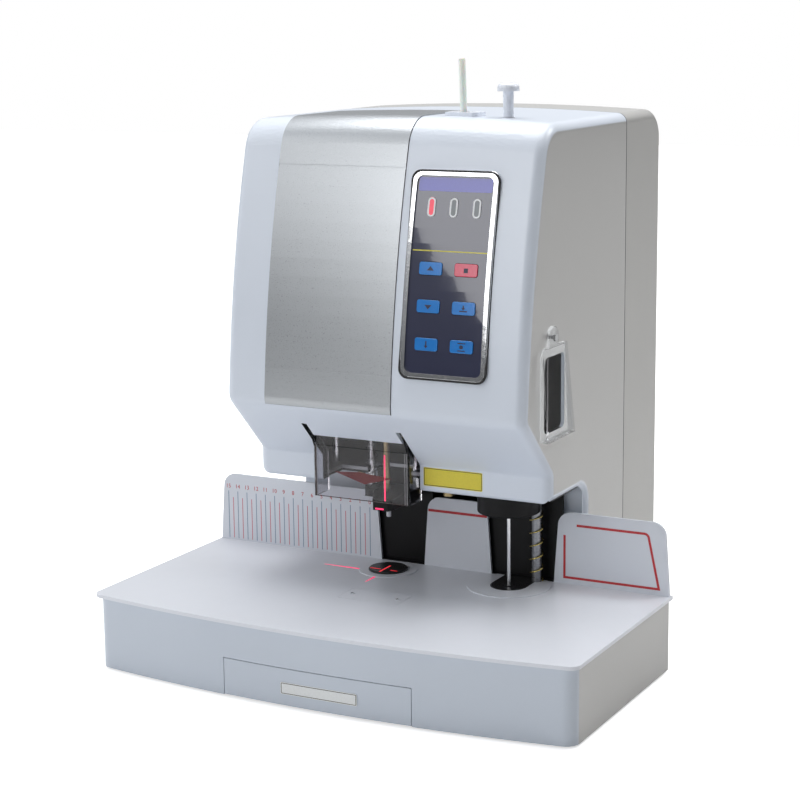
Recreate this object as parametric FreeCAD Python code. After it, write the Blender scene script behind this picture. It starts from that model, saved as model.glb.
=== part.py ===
# Desk machine that drills a stack of papers and closes a plastic rivet in it with heat.
# Millimetres. Origin: on the desk, under the middle of the whole machine.
# +X is the operator's right, -Y is the operator's side, +Z is up.
import FreeCAD, Part
import math
import os

from FreeCAD import Vector

os.makedirs("parts", exist_ok=True)

X_AXIS = Vector(1, 0, 0)
Y_AXIS = Vector(0, 1, 0)
Z_AXIS = Vector(0, 0, 1)

# Fits and general allowances
running_clearance = 0.05
loose_clearance = 0.15
seam_gap = 0.4
overrun = 5.0
pick_tolerance = 0.5
straight_share = 0.001
quarter_turn = 90

# Table, with the plane of the fence and the line on which both stations stand
table_width = 446.0
table_side_front = 184.6
table_bow = 17.5
table_top = 67.0
table_thickness = 3.0
table_corner_radius = 9.0
table_back_margin = 2.5
fence_plane = 16.0
fence_thickness = 2.5
table_back = fence_plane + fence_thickness + table_back_margin
station_offset = 28.0
station_line = fence_plane - station_offset

# Row of units across the head, from the left: drill, its lift motor, tube cutter, press
drill_x = -30.0
drill_screw_offset = 35.0
drill_screw_x = drill_x + drill_screw_offset
lift_gearbox_radius = 19.5
cutter_left_gap = 1.5
cutter_left = drill_screw_x + lift_gearbox_radius + cutter_left_gap
cutter_left_reach = 22.0
inlet_x = cutter_left + cutter_left_reach
cutter_right_reach = 15.0
cutter_right = inlet_x + cutter_right_reach
cutter_right_gap = 4.5
press_x = cutter_right + cutter_right_gap + lift_gearbox_radius
press_block_radius = 26.8
post_offset = 16.0
post_x = press_x + post_offset
ram_plate_overhang = 12.5
ram_plate_left = press_x - ram_plate_overhang
ram_plate_right = post_x + ram_plate_overhang
cheek_clearance = 5.5
cheek_inner = ram_plate_right + cheek_clearance
cheek_margin = 19.0
head_half_width = cheek_inner + cheek_margin

# Stack of units up the head: carriage, drill motor, pulleys, crown plate, lift motors
paper_gap = 84.0
head_underside = table_top + paper_gap
carriage_lift = 71.0
carriage_bottom = head_underside + carriage_lift
carriage_thickness = 18.0
carriage_top = carriage_bottom + carriage_thickness
motor_height = 62.0
motor_boss_height = 3.0
motor_top = carriage_top + motor_height + motor_boss_height
pulley_clearance = 10.0
pulley_bottom = motor_top + pulley_clearance
pulley_room = 32.0
crown_plate_bottom = pulley_bottom + pulley_room
crown_plate_thickness = 3.0
crown_plate_top = crown_plate_bottom + crown_plate_thickness
lift_gearbox_height = 20.0
lift_motor_height = 52.0
lift_motor_cap = 3.0
lift_motor_top = crown_plate_top + lift_gearbox_height + lift_motor_height + lift_motor_cap
head_room = 41.0
head_top = lift_motor_top + head_room

# Base under the table
base_inset = 3.0
base_wall = 3.0
base_bottom = 2.0
base_corner_radius = 12.0
base_back_step = 1.0
chassis_bottom = 4.0
chassis_thickness = 2.0
chassis_overlap = 30.0
foot_radius = 11.0
foot_rim = 3.0
foot_inset = 26.0

# Head and column, as one outline seen from the machine's right
head_wall = 3.0
head_side_radius = 9.0
column_step = 8.0
column_front = table_back + column_step
column_arch_radius = 14.0
lip_reach = 7.2
lip_front = press_block_radius + lip_reach - station_line
lip_height = 23.0
lip_top = head_underside + lip_height
lip_bottom_radius = 4.0
lip_top_radius = 4.0
chin_rise = 52.3
fold_front = lip_front + chin_rise
fold_height = lip_top + chin_rise
fold_radius = 14.0
fold_lean_degrees = 4.17
face_radius = 1105.0
brow_radius = 30.0
head_crown = 4.0
column_front_depth = 87.0
seam_plane = column_front + column_front_depth
rear_shell_depth = 86.0
back_plane = seam_plane + rear_shell_depth
back_top_radius = 26.0
seam_width = 1.0
seam_lip_depth = 6.0
seam_lip_thickness = 2.0

# Fence boards, with an opening in front of each station
fence_height = 63.0
fence_corner_radius = 12.0
fence_end_margin = 1.2
fence_draw_in = 4.6
drill_throat_half = 21.5
press_throat_half = 29.6
throat_cover_gap = 5.6
throat_cover_plane = fence_plane + throat_cover_gap
throat_cover_thickness = 2.0
throat_cover_reach = 6.0
throat_foot_thickness = 0.8

# Drawer for the paper scraps
drawer_half = 86.8
drawer_offset = 31.8
drawer_left = drill_x + drawer_offset - drawer_half
drawer_right = drill_x + drawer_offset + drawer_half
drawer_opening_top = 34.0
drawer_gap = 0.6
tray_half = 62.5
tray_offset = 12.5
tray_left = drill_x + tray_offset - tray_half
tray_right = drill_x + tray_offset + tray_half
tray_back = 75.0
tray_lift = 1.0
tray_bottom = chassis_bottom + chassis_thickness + tray_lift
tray_height = 22.0
tray_wall = 2.0
tray_corner_radius = 6.0

# Table fittings
pad_radius = 17.3
pad_seat_radius = 25.7
pad_seat_height = 0.6
pad_seat_depth = 1.2
pad_proud = 2.4
pad_edge_chamfer = 0.8
hatch_width = 56.0
hatch_depth = 30.0
hatch_offset = 77.0
hatch_left = drill_x
hatch_right = hatch_left + hatch_width
hatch_middle = station_line - hatch_offset
hatch_back = hatch_middle + hatch_depth / 2
hatch_front = hatch_middle - hatch_depth / 2
hatch_corner_radius = 3.0
hatch_thickness = 1.6
hatch_screw_radius = 2.2
hatch_screw_inset = 6.5
hatch_screw_proud = 0.6
ring_radius = 36.0
ring_thickness = 0.8
ring_back_gap = 0.6
die_radius = 16.0
die_proud = 1.0
die_button_radius = 5.5
die_button_proud = 0.7
heater_half = 15.0
heater_height = 28.0

# Front insert, a bright band that wraps from the fold over the top
insert_offset = 10.0
insert_half = 60.3
insert_left = drill_x - insert_offset - insert_half
insert_right = drill_x - insert_offset + insert_half
insert_proud = 0.8
insert_depth = 1.6
insert_foot = fold_height
insert_back = 40.0
insert_groove_width = 1.6
insert_groove_depth = 0.7

# Control panel, with its keys and lamps placed by shares of its width and height
panel_gap = 7.7
panel_width = 78.0
panel_left = insert_right + panel_gap
panel_right = panel_left + panel_width
panel_foot_rise = 32.2
panel_height = 167.0
panel_foot = fold_height + panel_foot_rise
panel_top = panel_foot + panel_height
panel_radius = 8.0
panel_sink = 2.0
bezel_proud = 2.4
bezel_width = 4.6
bezel_round = 1.4
plate_proud = 0.9
key_width = 20.5
key_height = 10.4
key_radius = 2.0
key_proud = 1.7
key_sink = 1.1
key_gap = 0.3
key_column_shares = (0.298, 0.705)
key_row_shares = (0.53, 0.35, 0.168)
lamp_end_share = 0.49
lamp_width = 5.4
lamp_height = 15.0
lamp_proud = 1.5
lamp_column_shares = (0.25, 0.505, 0.769)
lamp_row_share = 0.823
board_thickness = 1.6
board_gap = 9.0
board_post_radius = 2.5
board_margin = 8.0

# Drill guard, a clear channel that hangs from two pivots behind the chin
guard_offset = 2.25
guard_half = 46.25
guard_left = drill_x + guard_offset - guard_half
guard_right = drill_x + guard_offset + guard_half
guard_reach = 17.0
guard_plane = -lip_front - guard_reach
guard_thickness = 2.2
guard_drop = 9.5
guard_foot = head_underside - guard_drop
guard_front_height = 45.0
guard_shoulder = guard_foot + guard_front_height
guard_side_depth = 23.0
guard_side_height = 34.5
guard_side_top = guard_foot + guard_side_height
guard_corner_radius = 3.0
guard_pivot_reach = 22.0
guard_pivot_rise = 30.0
guard_pivot_y = -lip_front - guard_pivot_reach
guard_pivot_z = lip_top + guard_pivot_rise
guard_arm_radius = 3.4
cutout_gap = 1.6
cutout_rise = 22.0
cutout_top = lip_top + cutout_rise
ear_slot_rise = 34.0
ear_slot_top = lip_top + ear_slot_rise
boss_width = 7.0
boss_radius = 5.5
pin_head_height = 0.8
screw_shank_radius = 1.6
screw_head_radius = 3.2
screw_head_height = 2.0

# Side cover, a clear shallow lid on a single screw over a hand opening
side_window_back = -18.5
side_window_depth = 40.0
side_window_front = side_window_back - side_window_depth
side_window_height = 62.5
side_window_drop = 13.3
side_window_foot = fold_height - side_window_drop
side_window_top = side_window_foot + side_window_height
side_window_radius = 5.0
side_cover_margin = 9.0
side_cover_back_margin = 7.0
side_cover_foot_margin = 5.0
side_cover_top_margin = 9.0
side_cover_front = side_window_front - side_cover_margin
side_cover_back_foot = side_window_back + side_cover_back_margin
side_cover_back_lean = 8.0
side_cover_back_top = side_cover_back_foot - side_cover_back_lean
side_cover_foot = side_window_foot - side_cover_foot_margin
side_cover_shoulder = side_window_top + side_cover_top_margin
side_cover_tab_rise = 7.0
side_cover_tab_behind = 12.5
side_cover_tab_y = side_window_front + side_cover_tab_behind
side_cover_tab_z = side_cover_shoulder + side_cover_tab_rise
side_cover_tab_radius = 9.0
side_cover_wall = 1.6
side_cover_depth_top = 3.0
side_cover_depth_foot = 7.0
side_cover_corner = 6.0
side_cover_rise = 0.3

# Frame inside the head and column
cheek_thickness = 3.0
cheek_reach = 23.0
cheek_front = station_line - cheek_reach
cheek_throat_step = 11.0
cheek_throat = column_front + cheek_throat_step
cheek_back_margin = 12.0
cheek_back = back_plane - cheek_back_margin
cheek_hole_radius = 30.0
cheek_corner = 8.0
cheek_crown_rise = 40.0
plate_back_margin = 16.0
plate_back = seam_plane - plate_back_margin
floor_rise = 1.0
floor_bottom = head_underside + floor_rise
floor_thickness = 2.0
shelf_bottom = floor_bottom + floor_thickness
shelf_thickness = 3.0
cheek_arm_step = 6.0
cheek_arm_foot = shelf_bottom + cheek_arm_step
web_window_margin = 34.0
floor_window_margin = 2.0
floor_window_left = guard_left - floor_window_margin
floor_window_right = guard_right + floor_window_margin
floor_window_reach = 4.0
floor_window_back = station_line + floor_window_reach
collar_radius = 6.5
collar_height = 5.0

# Drill unit
shaft_radius = 3.3
left_shaft_offset = 59.7
spring_rod_offset = 23.5
shaft_forward = 16.0
shaft_xs = (drill_x - left_shaft_offset, drill_x - spring_rod_offset)
shaft_y = station_line + shaft_forward
drill_screw_behind = 20.0
drill_screw_y = station_line + drill_screw_behind
drill_screw_radius = 4.0
motor_behind = 58.0
motor_y = station_line + motor_behind
second_shaft_y = motor_y
carriage_left_margin = 14.3
carriage_right_margin = 11.0
carriage_left = drill_x - left_shaft_offset - carriage_left_margin
carriage_right = drill_screw_x + carriage_right_margin
carriage_front_reach = 18.0
carriage_back_reach = 32.0
carriage_front = station_line - carriage_front_reach
carriage_back = station_line + carriage_back_reach
carriage_tail_half = 24.0
carriage_tail_back = motor_y + carriage_tail_half
carriage_corner = 5.0
housing_radius = 15.0
housing_drop = 8.0
housing_height = 48.0
housing_bottom = carriage_bottom - housing_drop
housing_top = housing_bottom + housing_height
bearing_outer = 11.0
bearing_inner = 5.0
bearing_width = 7.0
bearing_ring = 2.0
bearing_shield_step = 0.6
spindle_bore = 2.0
spindle_overlap = 16.0
spindle_bottom = housing_bottom - spindle_overlap
chuck_radius = 9.0
chuck_length = 30.0
chuck_bottom = housing_bottom - chuck_length
chuck_taper = 5.0
bit_radius = 3.0
bit_rise = 61.5
bit_tip = table_top + bit_rise
bit_tip_height = 4.0
bit_shank_height = 14.0
pulley_height = 12.0
pulley_flange = 1.5
pulley_flange_rise = 1.8
spindle_end = 4.0
spindle_top = pulley_bottom + pulley_height + spindle_end
spindle_pulley_radius = 16.0
motor_pulley_radius = 9.0
belt_thickness = 1.4
belt_clearance = 0.3
motor_radius = 22.0
motor_boss_radius = 7.0
motor_shaft_radius = 2.5
motor_vent_radius = 3.0
motor_vent_count = 8
foot_block_rise = 62.0
foot_block_bottom = table_top + foot_block_rise
foot_block_height = 10.0
foot_block_half = 20.4
foot_block_front_reach = 32.0
foot_block_back_reach = 27.0
foot_block_front = station_line - foot_block_front_reach
foot_block_back = station_line + foot_block_back_reach
foot_block_nose = 14.0
foot_rod_behind = 22.0
foot_rod_y = station_line + foot_rod_behind
foot_rod_reach = 40.0
foot_rod_top = carriage_bottom + foot_rod_reach
foot_bore = 4.0

# Rivet press
press_block_rise = 66.0
press_block_bottom = table_top + press_block_rise
press_block_height = 43.0
press_block_round = 1.5
post_behind = 22.0
post_y = station_line + post_behind
post_radius = 4.3
post_lug_radius = 9.0
screw_collar = 2.0
ram_radius = 11.0
ram_plate_bottom = carriage_bottom
ram_plate_thickness = 12.0
ram_plate_front = station_line - ram_plate_overhang
press_screw_behind = 64.0
press_screw_y = station_line + press_screw_behind
ram_plate_back = press_screw_y + ram_plate_overhang
ram_plate_corner = 6.0
press_screw_radius = 5.0
needle_radius = 1.55
needle_bore = 3.0
needle_tip_depth = 3.0
needle_tip_gap = 0.5
needle_point = 2.5
knob_stem_radius = 4.3
knob_stem_drop = 14.0
knob_stem_bottom = head_top - knob_stem_drop
knob_cap_rise = 20.0
knob_cap_bottom = head_top + knob_cap_rise
knob_cap_height = 6.5
knob_cap_radius = 9.0
knob_rim = 2.0
knob_hole_radius = 5.4

# Springs round the guide post and round one drill shaft
spring_wire_radius = 0.6
spring_samples = 24
press_spring_radius = 5.7
press_spring_turns = 5.5
drill_spring_radius = 4.7
drill_spring_turns = 6.5

# Lift motors that turn the two screws
lift_motor_radius = 18.0

# Rivet tube path
inlet_length = 30.0
inlet_width = 22.0
inlet_radius = 5.0
inlet_height = 3.0
inlet_spigot_radius = 6.5
inlet_bore = 4.5
cutter_half_depth = 17.0
cutter_height = 35.0
cutter_bore = 3.6
cutter_chamber_height = 12.0
cutter_chamber_wall = 0.9
cutter_chamber_reach = 5.0
cutter_chamber_left = cutter_left + cutter_chamber_wall
cutter_chamber_right = inlet_x + cutter_chamber_reach
cutter_chamber_half = 5.0
blade_rise = 19.2
blade_bottom = crown_plate_bottom + blade_rise
blade_thickness = 2.0
blade_offset = 5.6
blade_length = 16.4
blade_left = inlet_x + blade_offset
blade_right = blade_left + blade_length
blade_half_depth = 9.0
blade_bevel = 3.0
blade_slot_gap = 0.15
outlet_offset = 17.7
outlet_x = inlet_x - outlet_offset
outlet_radius = 4.4
outlet_bore = 3.4
outlet_drop = 10.0
outlet_bottom = head_underside - outlet_drop
outlet_rim_radius = 5.4
outlet_rim_height = 4.0
tube_radius = 2.8
tube_bore = 1.8
tube_tilt_degrees = 2.0
tube_rise = 46.0
tube_top = head_top + tube_rise
tube_sink = 27.0
tube_foot = crown_plate_bottom + tube_sink
tube_pivot_drop = 41.0
tube_pivot_height = head_top - tube_pivot_drop

# Line lasers under the head floor
laser_radius = 3.5
laser_length = 9.0
side_laser_offset = 36.0
side_laser_behind = 20.0
near_laser_offset = 42.0
near_laser_behind = 15.5
laser_lens_radius = 1.6
laser_lens_depth = 1.0

# Mains inlet and switch on the back
inlet_box_x = -84.0
inlet_box_z = 36.0
inlet_box_width = 28.0
inlet_box_height = 20.0
inlet_box_depth = 22.0
inlet_flange = 3.0
inlet_flange_thickness = 2.0
inlet_well_depth = 15.0
inlet_well_wall = 2.5
inlet_pin_width = 2.0
inlet_pin_height = 4.0
inlet_pin_pitch = 7.0
inlet_pin_drop = 2.5
switch_pitch = 38.0
switch_x = inlet_box_x + switch_pitch
switch_width = 20.0
switch_half_height = 13.0
switch_wall = 1.4
switch_rock_degrees = 8.0
switch_pivot_inset = 6.0
rocker_half_height = 10.0
rocker_back = 3.0
rocker_waist = 3.0
rocker_crest = 4.6
rocker_shaft_radius = 1.5
rocker_side_gap = 0.2

# Vents in the rear shell
vent_count = 9
vent_pitch = 9.0
vent_rise = 24.0
vent_foot = fold_height + vent_rise
vent_end_share = 0.4
vent_height = 3.2
vent_half_width = 62.0


def box(x0, x1, y0, y1, z0, z1):
    return Part.makeBox(x1 - x0, y1 - y0, z1 - z0, Vector(x0, y0, z0))


def rod(x, y, z0, z1, radius):
    return Part.makeCylinder(radius, z1 - z0, Vector(x, y, z0), Z_AXIS)


def cone(x, y, z0, z1, radius0, radius1):
    return Part.makeCone(radius0, radius1, z1 - z0, Vector(x, y, z0), Z_AXIS)


def rod_along_x(x0, x1, y, z, radius):
    return Part.makeCylinder(radius, x1 - x0, Vector(x0, y, z), X_AXIS)


def fused(shapes):
    whole = shapes[0]
    for shape in shapes[1:]:
        whole = whole.fuse(shape)
    return whole.removeSplitter()


def vertical_edges(shape):
    """Edges that run straight along Z."""
    found = []
    for edge in shape.Edges:
        if len(edge.Vertexes) != 2:
            continue
        run = edge.Vertexes[1].Point - edge.Vertexes[0].Point
        aside = abs(run.x) + abs(run.y)
        if abs(run.z) > pick_tolerance and aside < abs(run.z) * straight_share:
            found.append(edge)
    return found


def rounded_block(x0, x1, y0, y1, z0, z1, radius):
    block = box(x0, x1, y0, y1, z0, z1)
    return block.makeFillet(radius, vertical_edges(block))


def rounded_block_along_y(x0, x1, z0, z1, y0, y1, radius):
    """A block whose corners are rounded as seen from the front."""
    flat = rounded_block(x0, x1, -z1, -z0, y0, y1, radius)
    flat.rotate(Vector(0, 0, 0), X_AXIS, -quarter_turn)
    return flat


def rounded_block_along_x(y0, y1, z0, z1, x0, x1, radius):
    """A block whose corners are rounded as seen from the side."""
    flat = rounded_block(-z1, -z0, y0, y1, x0, x1, radius)
    flat.rotate(Vector(0, 0, 0), Y_AXIS, quarter_turn)
    return flat


def extrude_xy(points, z0, z1):
    outline = [Vector(x, y, z0) for x, y in points]
    return Part.Face(Part.makePolygon(outline + outline[:1])).extrude(Vector(0, 0, z1 - z0))


def extrude_yz(points, x0, x1):
    outline = [Vector(x0, y, z) for y, z in points]
    return Part.Face(Part.makePolygon(outline + outline[:1])).extrude(Vector(x1 - x0, 0, 0))


def extrude_xz(points, y0, y1):
    outline = [Vector(x, y0, z) for x, z in points]
    return Part.Face(Part.makePolygon(outline + outline[:1])).extrude(Vector(0, y1 - y0, 0))


def save(name, shape):
    shape = shape.removeSplitter() if len(shape.Solids) == 1 else shape
    shape.exportStep("parts/" + name + ".step")
    print(name, "solids", len(shape.Solids), "valid", shape.isValid(), "volume", round(shape.Volume))


# Table and base


def table_face(inset, corner_radius, back):
    """Plan of the table: straight back and sides, bowed front, two rounded front corners."""
    half = table_width / 2 - inset
    side_front = inset - table_side_front
    middle_front = side_front - table_bow
    back_left = Vector(-half, back, 0)
    back_right = Vector(half, back, 0)
    front_right = Vector(half, side_front, 0)
    front_left = Vector(-half, side_front, 0)
    edges = [
        Part.makeLine(back_left, back_right),
        Part.makeLine(back_right, front_right),
        Part.Arc(front_right, Vector(0, middle_front, 0), front_left).toShape(),
        Part.makeLine(front_left, back_left),
    ]
    slab = Part.Face(Part.Wire(edges)).extrude(Vector(0, 0, overrun))
    corners = [edge for edge in vertical_edges(slab) if edge.Vertexes[0].Y < 0]
    slab = slab.makeFillet(corner_radius, corners)
    return [face for face in slab.Faces if abs(face.CenterOfMass.z) < running_clearance][0]


def table_prism(inset, corner_radius, back, z0, z1):
    face = table_face(inset, corner_radius, back)
    face.translate(Vector(0, 0, z0))
    return face.extrude(Vector(0, 0, z1 - z0))


def station_slot(radius, z0, z1, back):
    """U-shaped plan of the rivet die: round in front, straight sides to the back."""
    nose = rod(press_x, station_line, z0, z1, radius)
    tail = box(press_x - radius, press_x + radius, station_line, back, z0, z1)
    return nose.fuse(tail).removeSplitter()


def make_table_plate():
    plate_bottom = table_top - table_thickness
    plate = table_prism(0, table_corner_radius, table_back, plate_bottom, table_top)
    tongue = box(-head_half_width, head_half_width, table_back - overrun, seam_plane,
                 plate_bottom, table_top)
    plate = plate.fuse(tongue).removeSplitter()
    plate = plate.cut(rod(drill_x, station_line, table_top - pad_seat_depth, table_top + overrun,
                          pad_radius + loose_clearance))
    plate = plate.fuse(rod(drill_x, station_line, table_top - pad_seat_depth,
                           table_top + pad_seat_height, pad_seat_radius).cut(
        rod(drill_x, station_line, plate_bottom, table_top + overrun,
            pad_radius + loose_clearance)))
    plate = plate.cut(station_slot(die_radius + loose_clearance, plate_bottom - overrun,
                                   table_top + overrun, fence_plane - ring_back_gap))
    plate = plate.cut(rod(post_x, post_y, plate_bottom - overrun, table_top + overrun,
                          post_radius))
    plate = plate.cut(rounded_block(hatch_left - seam_gap, hatch_right + seam_gap,
                                    hatch_front - seam_gap, hatch_back + seam_gap,
                                    table_top - hatch_thickness, table_top + overrun,
                                    hatch_corner_radius + seam_gap))
    tongue_inner = head_half_width - 2 * head_wall
    return plate.cut(box(-tongue_inner, tongue_inner, column_front + 2 * head_wall,
                         seam_plane + overrun, plate_bottom - overrun, table_top + overrun))


def make_table_hatch():
    hatch = rounded_block(hatch_left, hatch_right, hatch_front, hatch_back,
                          table_top - hatch_thickness, table_top, hatch_corner_radius)
    middle = (hatch_front + hatch_back) / 2
    for x in (hatch_left + hatch_screw_inset, hatch_right - hatch_screw_inset):
        hatch = hatch.fuse(rod(x, middle, table_top, table_top + hatch_screw_proud,
                               hatch_screw_radius))
    return hatch


def make_die_cover_ring():
    disc = rod(press_x, station_line, table_top, table_top + ring_thickness, ring_radius)
    disc = disc.cut(box(press_x - 2 * ring_radius, press_x + 2 * ring_radius,
                        fence_plane - ring_back_gap, 2 * ring_radius,
                        table_top - overrun, table_top + overrun))
    disc = disc.cut(station_slot(die_radius + loose_clearance, table_top - overrun,
                                 table_top + overrun, ring_radius))
    disc = disc.cut(rod(post_x, post_y, table_top - overrun, table_top + overrun,
                        post_radius + loose_clearance))
    return Part.makeCompound(disc.Solids)


def make_lower_die():
    top = table_top + die_proud
    die = station_slot(die_radius, table_top - table_thickness, top, fence_plane - 2 * ring_back_gap)
    die = die.fuse(rod(press_x, station_line, top - die_proud, top + die_button_proud,
                       die_button_radius))
    die = die.cut(rod(press_x, station_line, table_top - needle_tip_depth,
                      top + overrun, needle_radius + running_clearance))
    return die.cut(rod(post_x, post_y, table_top - 2 * table_thickness, top + overrun,
                       post_radius + loose_clearance))


def make_lower_heater():
    top = table_top - table_thickness
    block = rounded_block(press_x - heater_half, press_x + heater_half / 2,
                          station_line - heater_half, station_line + heater_half,
                          top - heater_height, top, hatch_corner_radius)
    return block.cut(rod_along_x(press_x - 2 * heater_half, press_x + heater_half, station_line,
                                 top - heater_height / 2, post_radius))


def rear_extension(inset, z0, z1):
    half = head_half_width - inset
    return box(-half, half, table_back - 2 * overrun, seam_plane - seam_width / 2, z0, z1)


def make_base_shell():
    top = table_top - table_thickness
    back = table_back - base_back_step
    outer = table_prism(base_inset, base_corner_radius, back, base_bottom, top)
    outer = outer.fuse(rear_extension(0, base_bottom, top)).removeSplitter()
    inner = table_prism(base_inset + base_wall, base_corner_radius - base_wall, back - base_wall,
                        base_bottom - overrun, top + overrun)
    inner = inner.fuse(box(base_wall - head_half_width, head_half_width - base_wall,
                           table_back - 2 * overrun, seam_plane + overrun,
                           base_bottom - overrun, top + overrun)).removeSplitter()
    shell = outer.cut(inner)
    return shell.cut(box(drawer_left, drawer_right, -table_width, -table_side_front / 2,
                         base_bottom - overrun, drawer_opening_top))


def make_chassis_plate():
    top = chassis_bottom + chassis_thickness
    inset = base_inset + base_wall + running_clearance
    back = table_back - base_back_step - base_wall - running_clearance
    plate = table_prism(inset, base_corner_radius - base_wall, back, chassis_bottom, top)
    half = head_half_width - head_wall - seam_gap
    tail = rounded_block(-half, half, back - chassis_overlap, back_plane - head_wall - seam_gap,
                         chassis_bottom, top, head_side_radius)
    plate = plate.fuse(tail).removeSplitter()
    return plate


def foot_places():
    side = table_width / 2 - foot_inset
    rear = head_half_width - foot_inset
    front_y = foot_inset - table_side_front
    rear_y = back_plane - foot_inset
    return [(-side, front_y), (side, front_y), (-side, table_back - foot_inset),
            (side, table_back - foot_inset), (-rear, rear_y), (rear, rear_y)]


def make_rubber_feet():
    feet = []
    for x, y in foot_places():
        foot = cone(x, y, 0, chassis_bottom, foot_radius - foot_rim / 2, foot_radius)
        feet.append(foot)
    return Part.makeCompound(feet)


def make_chip_drawer():
    back = table_back - base_back_step
    outer = table_prism(base_inset, base_corner_radius, back, base_bottom + drawer_gap,
                        drawer_opening_top - drawer_gap)
    inner = table_prism(base_inset + base_wall, base_corner_radius - base_wall, back,
                        base_bottom - overrun, drawer_opening_top + overrun)
    front = outer.cut(inner).common(box(drawer_left + drawer_gap, drawer_right - drawer_gap,
                                        -table_width, -table_side_front / 2,
                                        base_bottom - overrun, drawer_opening_top))
    tray = rounded_block(tray_left, tray_right, -table_width, tray_back, tray_bottom,
                         tray_bottom + tray_height, tray_corner_radius)
    tray = tray.common(table_prism(base_inset + base_wall / 2, base_corner_radius - base_wall,
                                   table_width, base_bottom, table_top))
    hollow = rounded_block(tray_left + tray_wall, tray_right - tray_wall,
                           -table_width, tray_back - tray_wall,
                           tray_bottom + tray_wall, table_top, tray_corner_radius - tray_wall)
    hollow = hollow.common(table_prism(base_inset + base_wall, base_corner_radius - base_wall,
                                       table_width, base_bottom, table_top))
    return front.fuse(tray).cut(hollow).removeSplitter()


def make_drill_pad():
    pad = rod(drill_x, station_line, table_top - pad_seat_depth, table_top + pad_proud, pad_radius)
    rim = [edge for edge in pad.Edges if edge.BoundBox.ZMin > table_top + pad_proud / 2]
    return pad.makeChamfer(pad_edge_chamfer, rim)


def make_fence(left, right):
    """One board: upright, drawn in towards its top, with two rounded upper corners."""
    height = table_top + fence_height
    points = [(left, table_top), (right, table_top), (right - fence_draw_in, height),
              (left + fence_draw_in, height)]
    board = extrude_xz(points, fence_plane, fence_plane + fence_thickness)
    corners = []
    for edge in board.Edges:
        bounds = edge.BoundBox
        if bounds.ZMin > height - pick_tolerance and bounds.XLength < pick_tolerance:
            corners.append(edge)
    return board.makeFillet(fence_corner_radius, corners)


def make_throat_covers():
    """Black plates behind the two gaps between the boards, each with a foot on the table."""
    covers = []
    for x, half in ((drill_x, drill_throat_half), (press_x, press_throat_half)):
        plate = box(x - half - throat_cover_reach, x + half + throat_cover_reach,
                    throat_cover_plane, throat_cover_plane + throat_cover_thickness,
                    table_top, floor_bottom - seam_gap)
        foot = box(x - half + loose_clearance, x + half - loose_clearance,
                   fence_plane + loose_clearance, throat_cover_plane + running_clearance,
                   table_top, table_top + throat_foot_thickness)
        covers.append(plate.fuse(foot).removeSplitter())
    return Part.makeCompound(covers)


# Head and column


def face_centre():
    """Centre, in Y and Z, of the circle that the leaning front face follows."""
    lean = math.radians(fold_lean_degrees)
    return Vector(0, face_radius * math.cos(lean) - fold_front,
                  fold_height - face_radius * math.sin(lean))


def face_point_at(height, grow):
    """Distance of the front face from the origin plane at one height."""
    centre = face_centre()
    reach = face_radius + grow
    return centre.y - math.sqrt(reach * reach - (height - centre.z) ** 2)


def chin_meets_face(chin_sum, grow):
    """Y of the fold, where the 45 degree chin, on which Y + Z is the given sum, meets the face."""
    centre = face_centre()
    reach = face_radius + grow
    drop = chin_sum - centre.z
    total = centre.y + drop
    inside = total ** 2 - 2 * (centre.y ** 2 + drop ** 2 - reach ** 2)
    return (total - math.sqrt(inside)) / 2


def head_outline(grow):
    """Side outline of head and column, grown or shrunk by one distance, with sharp corners."""
    under = head_underside - grow
    lip = -lip_front - grow
    chin_sum = fold_height - fold_front - grow * math.sqrt(2)
    fold_y = chin_meets_face(chin_sum, grow)
    back = back_plane + grow
    floor = base_bottom if grow >= 0 else base_bottom - overrun
    corners = [
        Vector(0, column_front - grow, floor),
        Vector(0, column_front - grow, under),
        Vector(0, lip, under),
        Vector(0, lip, chin_sum - lip),
        Vector(0, fold_y, chin_sum - fold_y),
    ]
    brow_z = head_top + grow
    high_z = brow_z + head_crown
    middle_z = (corners[-1].z + high_z) / 2
    brow = Vector(0, face_point_at(brow_z, grow), brow_z)
    top_back = Vector(0, back, brow_z)
    middle = Vector(0, face_point_at(middle_z, grow), middle_z)
    high_front = Vector(0, face_point_at(high_z, grow), high_z)
    high_back = Vector(0, back, high_z)
    bottom_back = Vector(0, back, floor)
    edges = [Part.makeLine(a, b) for a, b in zip(corners, corners[1:])]
    edges.append(Part.Arc(corners[-1], middle, high_front).toShape())
    edges.append(Part.makeLine(high_front, high_back))
    edges.append(Part.makeLine(high_back, bottom_back))
    edges.append(Part.makeLine(bottom_back, corners[0]))
    return Part.Wire(edges), corners, brow, top_back


def edges_through(solid, point):
    """Edges across the whole width that pass one point of the side outline."""
    found = []
    for edge in solid.Edges:
        bounds = edge.BoundBox
        if bounds.XLength < head_half_width / 2:
            continue
        near = abs(bounds.ZMax - point.z) + abs(bounds.ZMin - point.z)
        near += abs(bounds.YMin - point.y) + abs(bounds.YMax - point.y)
        if near < 2 * head_crown:
            found.append(edge)
    return found


def side_edges(solid, half):
    """Edges in the two side planes, without the ones on the floor."""
    found = []
    for edge in solid.Edges:
        bounds = edge.BoundBox
        right = abs(bounds.XMin - half) + abs(bounds.XMax - half)
        left = abs(bounds.XMin + half) + abs(bounds.XMax + half)
        if min(left, right) < running_clearance and bounds.ZMax > table_top:
            found.append(edge)
    return found


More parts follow.
